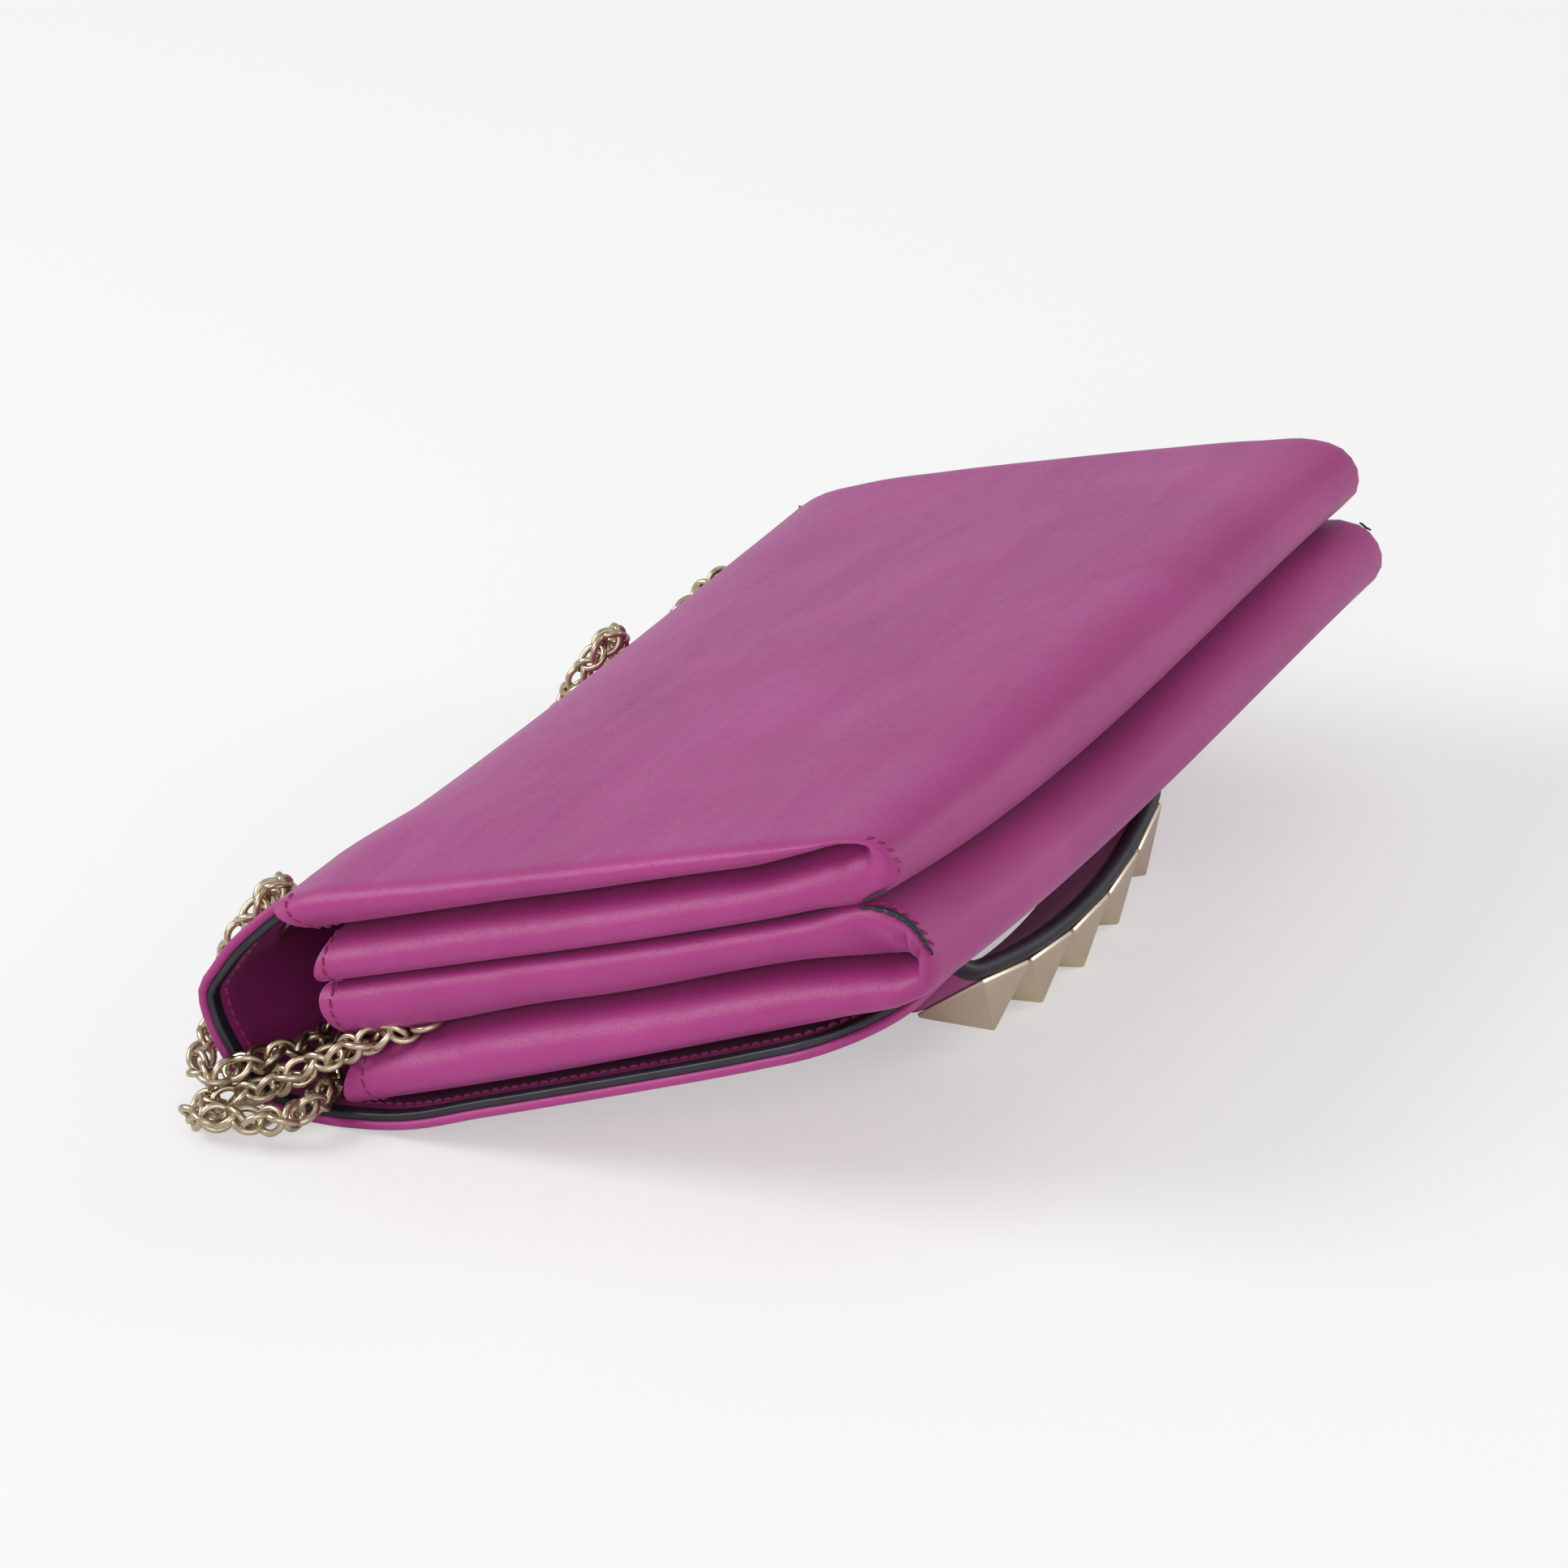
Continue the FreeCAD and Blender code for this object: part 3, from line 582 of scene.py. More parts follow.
# %% [markdown]
# The hem goes round the flap from one end of the ridge to the other. It is a half round turn of leather,
# so it is laid as a narrow grid whose rows follow the flap's outline and whose columns follow the turn.

# %% The flap's outline and hem
def flap_outline(inset):
    """Places, outward directions and inward normals round the flap, from the near to the far ridge."""
    outline = []
    for side in (-1, 1):
        run = []
        for row in range(RIDGE_ROW, LAST_ROW + 1):
            angle = corner_angle(row) if row > CORNER_ROW else math.pi / 2
            place, inward, along = outer_place(side, row)
            outward = Vector((side * math.sin(angle), 0.0, 0.0)) + along * math.cos(angle)
            run.append((place - outward * inset, outward, inward))
        outline.append(run)
    lower = []
    for u in column_places[1:-1]:
        place, inward, along = outer_place(u, LAST_ROW)
        lower.append((place - along * inset, along, inward))
    return outline[0] + lower + outline[1][::-1]


def rim_rows(outline, profile):
    """Rows of a strip that follows the outline. The profile is in (outwards, inwards) steps."""
    return [[place + outward * a + inward * b for a, b in profile] for place, outward, inward in outline]


HEM_STEPS = 8
turns = [math.pi * k / HEM_STEPS for k in range(HEM_STEPS + 1)]
hem_profile = [(HEM * math.sin(a), HEM * (1 - math.cos(a))) for a in turns] + [(-0.0030, 2 * HEM)]
hem = laid_grid("hem", rim_rows(flap_outline(0.0), hem_profile))
EYELET_HOLE = 0.0056
eyelets = []
for name in ("eyelet_near", "eyelet_far"):
    low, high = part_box(name)
    eyelets.append((low + high) / 2)
eyelet_axis = (bag(0.0, 0.58, 0.814) - bag(0.0, 0.0, 0.0)).normalized()
outer_parts = [outer_sheet, *gusset_parts, hem]
outer_leather = sheet("bag_leather", outer_parts, (0.0, 0.08, 0.004), (0, 0, 1), LEATHER, eyelets)

# %% [markdown]
# The front pouch is a second folded sheet, sewn to the first along the rolls. It is laid in the same way,
# from the mouth down its back wall, round the bottom roll and up its front wall. At the near end the two
# pouches have been pressed together, so its back wall comes closer to the back of the bag there.

# %% Front pouch
front_near = [
    (0.1500, -0.0204), (0.1100, -0.0195), (0.0600, -0.0181), (0.0250, -0.0159), (0.0102, -0.0147),
    (0.0046, -0.0182), (0.0018, -0.0240), (0.0008, -0.0300), (0.0030, -0.0345), (0.0090, -0.0374),
    (0.0250, -0.0393), (0.0600, -0.0424), (0.1100, -0.0462), (0.1520, -0.0482),
]
front_quarter = [
    (0.1500, -0.0180), (0.1100, -0.0190), (0.0600, -0.0207), (0.0260, -0.0221), (0.0120, -0.0222),
    (0.0035, -0.0248), (-0.0008, -0.0295), (-0.0009, -0.0350), (0.0035, -0.0395), (0.0118, -0.0412),
    (0.0260, -0.0416), (0.0600, -0.0436), (0.1100, -0.0463), (0.1515, -0.0482),
]
front_middle = [
    (0.1500, -0.0180), (0.1100, -0.0190), (0.0600, -0.0208), (0.0260, -0.0223), (0.0120, -0.0226),
    (0.0029, -0.0254), (-0.0012, -0.0303), (-0.0012, -0.0359), (0.0036, -0.0402), (0.0118, -0.0416),
    (0.0260, -0.0418), (0.0600, -0.0436), (0.1100, -0.0463), (0.1515, -0.0482),
]
front_far = [
    (0.1500, -0.0180), (0.1100, -0.0190), (0.0600, -0.0208), (0.0270, -0.0224), (0.0130, -0.0228),
    (0.0030, -0.0256), (-0.0008, -0.0312), (-0.0002, -0.0372), (0.0050, -0.0414), (0.0130, -0.0430),
    (0.0260, -0.0436), (0.0600, -0.0444), (0.1100, -0.0464), (0.1515, -0.0482),
]
front_lines = (front_near, front_quarter, front_middle, front_far)
front_shares = step_shares(front_near, 0)
FRONT_ROWS = sum(len(s) for s in front_shares)
FRONT_ROLL = 0.0062
front_cache = {}


def front_place(u, row, depth=0.0, inset=0.0):
    """A place on the front pouch's leather, or at a depth inside it."""
    x = u * (HALF - FRONT_ROLL - inset)
    key = round(x / HALF, 5)
    if key not in front_cache:
        front_cache[key] = curve_places(section(front_lines, STOPS, x / HALF), front_shares)
    line = front_cache[key]
    before, after = line[max(row - 1, 0)], line[min(row + 1, FRONT_ROWS)]
    along = (after - before).normalized()
    y, z = line[row] - Vector((along.y, -along.x)) * depth
    return Vector((x, y, z))


front_rows = [[front_place(u, row) for u in column_places] for row in range(FRONT_ROWS + 1)]
front_sheet = laid_grid("front_sheet", front_rows)
front_creases = {
    -1: [(0.0066, -0.0300), (0.0300, -0.0286), (0.0900, -0.0318), (0.1460, -0.0350)],
    1: [(0.0120, -0.0330), (0.0500, -0.0330), (0.1460, -0.0334)],
}
front_stops = [FRONT_ROLL] * (FRONT_ROWS + 1)
front_gussets, gusset_parts = both_gussets(
    "front_gusset", front_creases, front_place, front_stops, 0.0024, 0.1505, 0.0020
)
front_parts = [front_sheet, *gusset_parts]
front_pouch = sheet("front_pouch", front_parts, (0.0, -0.001, -0.033), (0, -1, 0), LEATHER)

# %% [markdown]
# The inside of the flap is lined with the same leather. Its cut edge lies on the hem and is painted
# black, which gives the dark line that runs all round the flap. The lining is thin in the middle and
# stands up a little over the hem, so its depth is worked out from how far a place is from the edge.

# %% Flap lining and painted edge
LINING_DEPTH = 0.0025
LINING_AT_EDGE = 0.0038
LINING_INSET = 0.0010
LINING_RIM = 0.004
LINING_SLOPE = 0.011
LINING_START = RIDGE_ROW - 2
last_line = outer_line(0.0)
to_end = [0.0] * (LAST_ROW + 1)
for row in range(LAST_ROW - 1, -1, -1):
    to_end[row] = to_end[row + 1] + (last_line[row + 1] - last_line[row]).length


def lining_depth(u, row):
    x = abs(u) * (HALF - side_stop(row))
    from_edge = min(HALF - x, to_end[row])
    return LINING_AT_EDGE + (LINING_DEPTH - LINING_AT_EDGE) * ease((from_edge - LINING_RIM) / LINING_SLOPE)


def lining_place(u, row):
    place, inward, along = outer_place(u, row, 0.0, LINING_INSET)
    if row > CORNER_ROW:
        place = place - along * (LINING_INSET * math.cos(corner_angle(row)))
    return place + inward * lining_depth(u, row)


lining_rows = [[lining_place(u, row) for u in column_places] for row in range(LINING_START, LAST_ROW + 1)]
lining_grid = laid_grid("flap_lining_leather", lining_rows)
flap_lining = sheet("flap_lining_leather", [lining_grid], (0.0, 0.08, -0.046), (0, 0, 1), 0.0007, eyelets)

PAINT_IN = -0.0024
PAINT_OUT = 0.0005
PAINT_LOW = 0.0021
PAINT_HIGH = 0.00395
PAINT_ROUND = 0.0006
PAINT_STEPS = 4
paint_profile = [(PAINT_IN, PAINT_HIGH)]
for level, way in ((PAINT_HIGH, -1), (PAINT_LOW, 1)):
    for k in range(PAINT_STEPS + 1):
        a = math.pi / 2 * (1 - k / PAINT_STEPS if way < 0 else k / PAINT_STEPS)
        reach = PAINT_OUT - PAINT_ROUND * (1 - math.cos(a))
        paint_profile.append((reach, level + way * PAINT_ROUND * (1 - math.sin(a))))
paint_profile.append((PAINT_IN, PAINT_LOW))
paint_rows = rim_rows(flap_outline(0.0), paint_profile)
paint_grid = laid_grid("flap_painted_edge", paint_rows)
paint_edge = sheet("flap_painted_edge", [paint_grid], (-0.131, 0.08, -0.047), (-1, 0, 0))

# %% [markdown]
# The pouches are lined with a fine cloth. It only shows when one looks into the mouths, so each lining is
# one sheet that follows the leather a little way inside it.

# %% Pouch linings
CLOTH = 0.0003
CLOTH_DEPTH = 0.0017
CLOTH_INSET = 0.0120
cloth_columns = column_places[::2]
rear_cloth_rows = []
for row in range(2, RIDGE_ROW - 1):
    rear_cloth_rows.append([outer_place(u, row, CLOTH_DEPTH, CLOTH_INSET)[0] for u in cloth_columns])
rear_grid = laid_grid("rear_pouch_cloth", rear_cloth_rows)
rear_cloth = sheet("rear_pouch_cloth", [rear_grid], (0.0, 0.08, 0.0), (0, 0, -1), CLOTH)
front_cloth_rows = []
for row in range(2, FRONT_ROWS - 1):
    front_cloth_rows.append([front_place(u, row, CLOTH_DEPTH, CLOTH_INSET) for u in cloth_columns])
front_grid = laid_grid("front_pouch_cloth", front_cloth_rows)
front_cloth = sheet("front_pouch_cloth", [front_grid], (0.0, 0.08, -0.044), (0, 0, 1), CLOTH)

# %% [markdown]
# The finger bar is a stiff strip, bent to a shallow arch and covered on both sides with leather. Both
# long edges are painted black and rounded. It is made by carrying one cross section along the arch: the
# leather faces are one piece, and each painted edge is another.

# %% Finger bar
BAR_LEAN = math.radians(19.4)
BAR_CORNER = Vector((0.0, 0.0348, -0.0702))
ARCH_RADIUS = 0.200
ARCH_HALF = 0.050
LEG_RADIUS = 0.014
LEG_ANGLE = math.radians(80.0)
BAR_LOW = -0.0016
BAR_HIGH = 0.0214
BAR_THICK = 0.0044
ARCH_STEPS = 14
LEG_STEPS = 10
FLAP_EDGE = (0.0192, -0.0461)
FLAP_SLOPE = 0.0027 / 0.0348
FOOT_SINK = 0.0012
bar_across = Vector((0.0, math.cos(BAR_LEAN), -math.sin(BAR_LEAN)))
bar_out = Vector((0.0, -math.sin(BAR_LEAN), -math.cos(BAR_LEAN)))


def bar_place(u, v, w):
    return BAR_CORNER + Vector((u, 0.0, 0.0)) + bar_across * v + bar_out * w


def arch_stations():
    """Places (u, w) and normals (nu, nw) on the outside of the arch, from the middle to the right foot."""
    tip = math.asin(ARCH_HALF / ARCH_RADIUS)
    run = []
    for k in range(ARCH_STEPS + 1):
        a = tip * k / ARCH_STEPS
        run.append((ARCH_RADIUS * math.sin(a), -ARCH_RADIUS * (1 - math.cos(a)), math.sin(a), math.cos(a)))
    u0 = ARCH_HALF - LEG_RADIUS * math.sin(tip)
    w0 = run[-1][1] - LEG_RADIUS * math.cos(tip)
    for k in range(1, LEG_STEPS + 1):
        a = tip + (LEG_ANGLE - tip) * k / LEG_STEPS
        run.append((u0 + LEG_RADIUS * math.sin(a), w0 + LEG_RADIUS * math.cos(a), math.sin(a), math.cos(a)))
    return run


def flap_depth(y):
    """The depth of the flap's outer leather under the bar."""
    return FLAP_EDGE[1] - (y - FLAP_EDGE[0]) * FLAP_SLOPE


def bar_rows(profile):
    """A cross section, given as (v, depth) places, carried along the arch from foot to foot."""
    run = arch_stations()
    right = [[bar_place(u + nu * -d, v, w - nw * d) for v, d in profile] for u, w, nu, nw in run]
    direction = bar_place(math.cos(LEG_ANGLE), 0.0, -math.sin(LEG_ANGLE)) - BAR_CORNER
    slope = direction.z + direction.y * FLAP_SLOPE
    ends = right[-1]
    feet = [p + direction * ((flap_depth(p.y) + FOOT_SINK - p.z) / slope) for p in ends]
    for share in (0.25, 0.5, 0.75, 1.0):
        right.append([a.lerp(b, share) for a, b in zip(ends, feet)])
    left = [[Vector((-p.x, p.y, p.z)) for p in row] for row in right[1:]]
    return left[::-1] + right


EDGE_ROUND = BAR_THICK / 2
EDGE_FLAT = 0.0007
round_edge = []
for k in range(13):
    a = math.pi * k / 12
    round_edge.append((-EDGE_ROUND * math.sin(a), EDGE_ROUND * (1 - math.cos(a))))


def edge_profile(at, side):
    """The painted edge at one side of the bar: a half round with a short flat at each end."""
    flat = [(EDGE_FLAT, 0.0)] + round_edge + [(EDGE_FLAT, BAR_THICK)]
    return [(at - side * v, d) for v, d in flat]


bar_edges = []
edges = (("bar_edge_lower", BAR_LOW + EDGE_ROUND, -1), ("bar_edge_upper", BAR_HIGH - EDGE_ROUND, 1))
for name, at, side in edges:
    grid = laid_grid(name, bar_rows(edge_profile(at, side)))
    outermost = bar_place(0.0, at + side * EDGE_ROUND, -EDGE_ROUND)
    bar_edges.append(sheet(name, [grid], outermost, bar_across * side))
face_low = BAR_LOW + EDGE_ROUND + EDGE_FLAT
face_high = BAR_HIGH - EDGE_ROUND - EDGE_FLAT
face_steps = [face_low + (face_high - face_low) * k / 10 for k in range(11)]
bar_faces = []
faces = (("bar_outer_face", -0.0001, 1), ("bar_inner_face", BAR_THICK + 0.0001, -1))
for name, depth, direction in faces:
    grid = laid_grid(name, bar_rows([(v, depth) for v in face_steps]))
    bar_faces.append(sheet(name, [grid], bar_place(0.0, 0.01, -depth), bar_out * direction, 0.0007))
bar_leather = sewn("bar_leather", bar_faces)
finished(bar_leather)

# %% [markdown]
# Each stud is a cast pyramid on a low square plinth. It starts as a cone with four sides, the plinth is
# extruded below it, and a narrow bevel rounds the edges so that they catch the light as polished metal
# does. It is made once and copied to its five places along the arch.

# %% Studs
STUD_BASE = 0.0198
STUD_GAP = 0.0016
STUD_HEIGHT = 0.0108
STUD_PLINTH = 0.0010
STUD_TIP = 0.0004
STUD_BEVEL = 0.00042
STUD_COUNT = 5
bpy.ops.mesh.primitive_cone_add(
    vertices=4,
    radius1=STUD_BASE / math.sqrt(2),
    radius2=STUD_TIP,
    depth=STUD_HEIGHT - STUD_PLINTH,
    location=(0, 0, (STUD_HEIGHT + STUD_PLINTH) / 2),
    rotation=(0, 0, math.pi / 4),
)
stud_model = bpy.context.object
bpy.ops.object.transform_apply(location=True, rotation=True, scale=True)
bpy.ops.object.mode_set(mode="EDIT")
bpy.ops.mesh.select_all(action="DESELECT")
bpy.ops.object.mode_set(mode="OBJECT")
for face in stud_model.data.polygons:
    face.select = face.normal.z < -0.9
bpy.ops.object.mode_set(mode="EDIT")
bpy.ops.mesh.extrude_region_move(TRANSFORM_OT_translate={"value": (0, 0, -STUD_PLINTH)})
bpy.ops.object.mode_set(mode="OBJECT")
soft_edge = stud_model.modifiers.new("soft_edge", "BEVEL")
soft_edge.width = STUD_BEVEL
soft_edge.segments = 3
soft_edge.limit_method = "ANGLE"
soft_edge.angle_limit = math.radians(20)
bpy.ops.object.modifier_apply(modifier="soft_edge")
bpy.ops.object.shade_smooth_by_angle(angle=math.radians(18))

studs = []
origin = bag(0, 0, 0)
for k in range(STUD_COUNT):
    angle = (k - (STUD_COUNT - 1) / 2) * (STUD_BASE + STUD_GAP) / (ARCH_RADIUS + STUD_HEIGHT / 3)
    x_axis = Vector((math.cos(angle), 0.0, 0.0)) - bar_out * math.sin(angle)
    z_axis = bar_out * math.cos(angle) + Vector((math.sin(angle), 0.0, 0.0))
    centre = bar_place(ARCH_RADIUS * math.sin(angle), STUD_BASE / 2, -ARCH_RADIUS * (1 - math.cos(angle)))
    axes = [bag(*axis) - origin for axis in (x_axis, z_axis.cross(x_axis), z_axis)]
    name = "pyramid_stud_%d" % (k + 1)
    stud = placed(name, stud_model.data.copy())
    stud.data.name = name
    stud.data.transform(standing(bag(*centre), *axes))
    studs.append(stud)
bpy.data.objects.remove(stud_model)
print("studs", len(studs), "faces each", len(studs[0].data.polygons))

# %% [markdown]
# The chain's links are small wire rings. One ring is modelled from a torus, and a copy is set at every
# step along the line. Each ring leans out of the chain's axis and is turned a little less than a third
# of a round from the ring before it, so that the rings hook into their neighbours like a laid rope.

# %% Chain links
LINK_PITCH = 0.00265
LINK_LENGTH = 0.0082
LINK_WIDTH = 0.0071
WIRE = 0.00082
LINK_TURN = math.radians(104.0)
LINK_LEAN = math.radians(24.0)


def walk(path, step, start):
    """Places at even steps along a line, each with its direction."""
    found, wanted, walked = [], start, 0.0
    for a, b in zip(path, path[1:]):
        length = (b - a).length
        while wanted <= walked + length and length > 0:
            found.append((a.lerp(b, (wanted - walked) / length), (b - a).normalized()))
            wanted += step
        walked += length
    return found


def frames_along(path, step, start):
    """Steady frames along a line: each is the last one, turned only as much as the line turns."""
    side = None
    frames = []
    for place, direction in walk(path, step, start):
        if side is None:
            side = direction.orthogonal().normalized()
        side = (side - direction * side.dot(direction)).normalized()
        frames.append((place, side, direction.cross(side), direction))
    return frames


def copies(name, model, matrices):
    """One mesh of many copies of a modelled piece."""
    corners, faces = [], []
    base = [v.co.copy() for v in model.data.vertices]
    shape = [tuple(f.vertices) for f in model.data.polygons]
    for matrix in matrices:
        first = len(corners)
        corners.extend(matrix @ v for v in base)
        faces.extend(tuple(first + i for i in face) for face in shape)
    mesh = bpy.data.meshes.new(name)
    mesh.from_pydata(corners, [], faces)
    mesh.update()
    mesh.polygons.foreach_set("use_smooth", [True] * len(faces))
    print("%-26s %6d faces in %d copies" % (name, len(faces), len(matrices)))
    return placed(name, mesh)


ring_radius = LINK_WIDTH / 2 - WIRE
bpy.ops.mesh.primitive_torus_add(
    major_radius=ring_radius, minor_radius=WIRE, major_segments=20, minor_segments=9
)
link = bpy.context.object
stretch = (LINK_LENGTH / 2 - WIRE) / ring_radius
for vertex in link.data.vertices:
    ring = Vector((vertex.co.x, vertex.co.y, 0.0)).normalized() * ring_radius
    vertex.co.x += ring.x * (stretch - 1)
link_places = []
for k, (place, a, b, c) in enumerate(frames_along(chain_path, LINK_PITCH, LINK_PITCH / 2)):
    turned = Matrix.Rotation(k * LINK_TURN, 4, "X") @ Matrix.Rotation(LINK_LEAN, 4, "Y")
    link_places.append(standing(place, c, a, b) @ turned)
chain = copies("rope_chain", link, link_places)
bpy.data.objects.remove(link)

# %% [markdown]
# The seams at the pouches' bottom corners have cut edges, and these are painted black too: both ends of the
# front pouch, and the near end of the rear one. Each is a narrow strip that lies just proud of the gusset,
# widest in the middle and pointed at both ends.

# %% Painted seams at the bottom corners
STRIP_STEPS = 36
PAINT_RIM = 0.00030
PAINT_SWELL = 0.00045


def raised(points, out_hint, height):
    """Points of a grid, lifted off their surface to the side that the hint is on."""
    lifted = []
    for i, row in enumerate(points):
        line = []
        for j, p in enumerate(row):
            down = points[min(i + 1, len(points) - 1)][j] - points[max(i - 1, 0)][j]
            across = row[min(j + 1, len(row) - 1)] - row[max(j - 1, 0)]
            normal = down.cross(across).normalized()
            if normal.dot(out_hint) < 0:
                normal = -normal
            line.append(p + normal * height(j))
        lifted.append(line)
    return lifted


def seam_strip(gusset, first, last, middle, half_span, out_hint):
    """A painted strip along a gusset from one row to another, as wide in t as half_span either side."""
    edge, stop_list, shape = gusset
    rows = []
    for k in range(STRIP_STEPS + 1):
        s = k / STRIP_STEPS
        row = first + (last - first) * s
        i = min(int(row), len(edge) - 2)
        place = edge[i].lerp(edge[i + 1], row - i)
        half = half_span * (0.10 + 0.90 * math.sin(math.pi * s) ** 0.6)
        steps = [middle + half * (j / 4 - 1) for j in range(9)]
        rows.append([gusset_point(place, stop_list[i], *shape, max(0.0, t)) for t in steps])
    return raised(rows, out_hint, lambda j: PAINT_RIM + PAINT_SWELL * math.sin(math.pi * j / 8) ** 0.5)


def row_near(edge, y, z):
    return min(range(len(edge)), key=lambda i: (edge[i].yz - Vector((y, z))).length)


seams = (
    (front_gussets[-1], (0.0125, -0.0150), (0.0010, -0.0290), 0.16, 0.040, Vector((-1, -0.6, 0.2))),
    (rear_gussets[-1], (0.0130, -0.0142), (0.0055, -0.0122), 0.20, 0.022, Vector((-1, -0.2, 0.0))),
    (front_gussets[1], (0.0040, -0.0240), (0.0010, -0.0290), 0.16, 0.040, Vector((1, -0.6, 0.2))),
)
seam_parts = []
for gusset, top, bottom, middle, half_span, hint in seams:
    first, last = row_near(gusset[0], *top), row_near(gusset[0], *bottom)
    seam_parts.append(laid_grid("seam", seam_strip(gusset, first, last, middle, half_span, hint)))
seam_paint = sheet("corner_seam_paint", seam_parts, (-HALF, 0.002, -0.025), (-1, -0.3, 0), 0.0003)

# %% [markdown]
# Stitches are what tells sewn leather from moulded plastic. One stitch is a short, plump piece of thread
# that dips into the leather at both ends. It is made once, and copies are set in rows: across the end of
# every gusset, along the front pouch's mouth, round the lining of the flap, and beside the painted seams
# at the near end.

# %% Stitches
STITCH_STEP = 0.0026
STITCH_LENGTH = 0.0021
THREAD = 0.00034
DIP = 0.00028
bpy.ops.mesh.primitive_uv_sphere_add(segments=10, ring_count=8, radius=1.0, rotation=(0.0, math.pi / 2, 0.0))
stitch_model = bpy.context.object
bpy.ops.object.transform_apply(location=False, rotation=True, scale=False)
for vertex in stitch_model.data.vertices:
    s = vertex.co.x
    plump = math.sqrt(max(0.0, 1 - s**4)) / max(0.2, math.sqrt(max(0.0, 1 - s * s)))
    y, z = vertex.co.y * THREAD * plump, vertex.co.z * THREAD * plump
    vertex.co = Vector((s * STITCH_LENGTH / 2, y, z - DIP * s * s))


def stitch_places(path, normals, slant=0.16):
    """Where the stitches of one row go. The path and the normals are in the bag's own plane."""
    line = [bag(*p) for p in path]
    ups = [(bag(*n) - origin).normalized() for n in normals]
    matrices = []
    for place, direction in walk(line, STITCH_STEP, STITCH_STEP / 2):
        nearest = min(range(len(line)), key=lambda i: (line[i] - place).length_squared)
        normal = (ups[nearest] - direction * ups[nearest].dot(direction)).normalized()
        stitch = standing(place, direction, normal.cross(direction), normal)
        matrices.append(stitch @ Matrix.Rotation(slant, 4, "Z"))
    return matrices


def across_gusset(gusset, row, out_start):
    """A path across a gusset at one row, and the outward normals along it."""
    edge, stop_list, shape = gusset
    ts = [SEAM_FROM + (SEAM_TO - SEAM_FROM) * k / SEAM_STEPS for k in range(SEAM_STEPS + 1)]
    points = [gusset_point(edge[row], stop_list[row], *shape, t) for t in ts]
    beside = row + 1 if row + 1 < len(edge) else row - 1
    near = [gusset_point(edge[beside], stop_list[beside], *shape, t) for t in ts]
    normals, last = [], out_start
    for i, (p, q) in enumerate(zip(points, near)):
        step = points[min(i + 1, SEAM_STEPS)] - points[max(i - 1, 0)]
        normal = (q - p).cross(step).normalized()
        if normal.dot(last) < 0:
            normal = -normal
        normals.append(normal)
        last = normal
    return [p + n * ABOVE_GUSSET for p, n in zip(points, normals)], normals


MOUTH_LINE = 0.1462
SEAM_LINE = 0.1525
SEAM_FROM = 0.02
SEAM_TO = 0.86
SEAM_STEPS = 40
HEM_LINE = 0.0050
ABOVE_GUSSET = 0.00018
ABOVE_WALL = 0.0002
ABOVE_LINING = 0.00015
BACKWARDS, FORWARDS = Vector((0, 0, 1)), Vector((0, 0, -1))
pouch_stitches = []
for side in (-1, 1):
    rows = (
        (rear_gussets[side], (SEAM_LINE, 0.0), BACKWARDS),
        (rear_gussets[side], (MOUTH_LINE, -0.0173), FORWARDS),
        (front_gussets[side], (MOUTH_LINE, -0.0180), BACKWARDS),
        (front_gussets[side], (MOUTH_LINE, -0.0480), FORWARDS),
    )
    for gusset, at, hint in rows:
        pouch_stitches += stitch_places(*across_gusset(gusset, row_near(gusset[0], *at), hint))

row = min(range(FRONT_ROWS // 2, FRONT_ROWS), key=lambda r: abs(front_place(0.0, r).y - MOUTH_LINE))
line = [front_place(u, row) + FORWARDS * ABOVE_WALL for u in column_places]
pouch_stitches += stitch_places(line, [FORWARDS] * len(line))

hem_line = flap_outline(HEM_LINE)[4:-4]
lining_line = [place + inward * (LINING_AT_EDGE + ABOVE_LINING) for place, outward, inward in hem_line]
flap_stitches = stitch_places(lining_line, [inward for place, outward, inward in hem_line])

corner_seams = (
    (front_gussets[-1], (0.0105, -0.0150), (0.0010, -0.0290), 0.075, 0.5),
    (rear_gussets[-1], (0.0026, -0.0108), (0.0075, -0.0018), 0.10, 0.8),
)
for (edge, stop_list, shape), seam_from, seam_to, at, slant in corner_seams:
    first, last = sorted((row_near(edge, *seam_from), row_near(edge, *seam_to)))
    path, normals = [], []
    for row in range(first, last + 1):
        p = gusset_point(edge[row], stop_list[row], *shape, at)
        q = gusset_point(edge[row + 1], stop_list[row + 1], *shape, at)
        r = gusset_point(edge[row], stop_list[row], *shape, at + 0.035)
        normal = (q - p).cross(r - p).normalized()
        if normal.x > 0:
            normal = -normal
        path.append(p + normal * ABOVE_WALL)
        normals.append(normal)
    pouch_stitches += stitch_places(path, normals, slant=slant)

pouch_thread = copies("pouch_stitches", stitch_model, pouch_stitches)
flap_thread = copies("flap_stitches", stitch_model, flap_stitches)
bpy.data.objects.remove(stitch_model)

# %% [markdown]
# Every material is built from nodes. Two effects are used again and again, so each is a group: a grain
# for leather, and a wear map for slow changes of tone and gloss. A group only gives values, and each
# material has its own shader.

# %% Shared groups
def new_group(name, inputs, outputs):
    """A node group with the given float and vector inputs, and float outputs."""
    group = bpy.data.node_groups.new(name, "ShaderNodeTree")
    for label, kind, value in inputs:
        item = group.interface.new_socket(name=label, in_out="INPUT", socket_type=kind)
        if value is not None:
            item.default_value = value
    for label in outputs:
        group.interface.new_socket(name=label, in_out="OUTPUT", socket_type="NodeSocketFloat")
    return group, group.nodes.new("NodeGroupInput"), group.nodes.new("NodeGroupOutput")


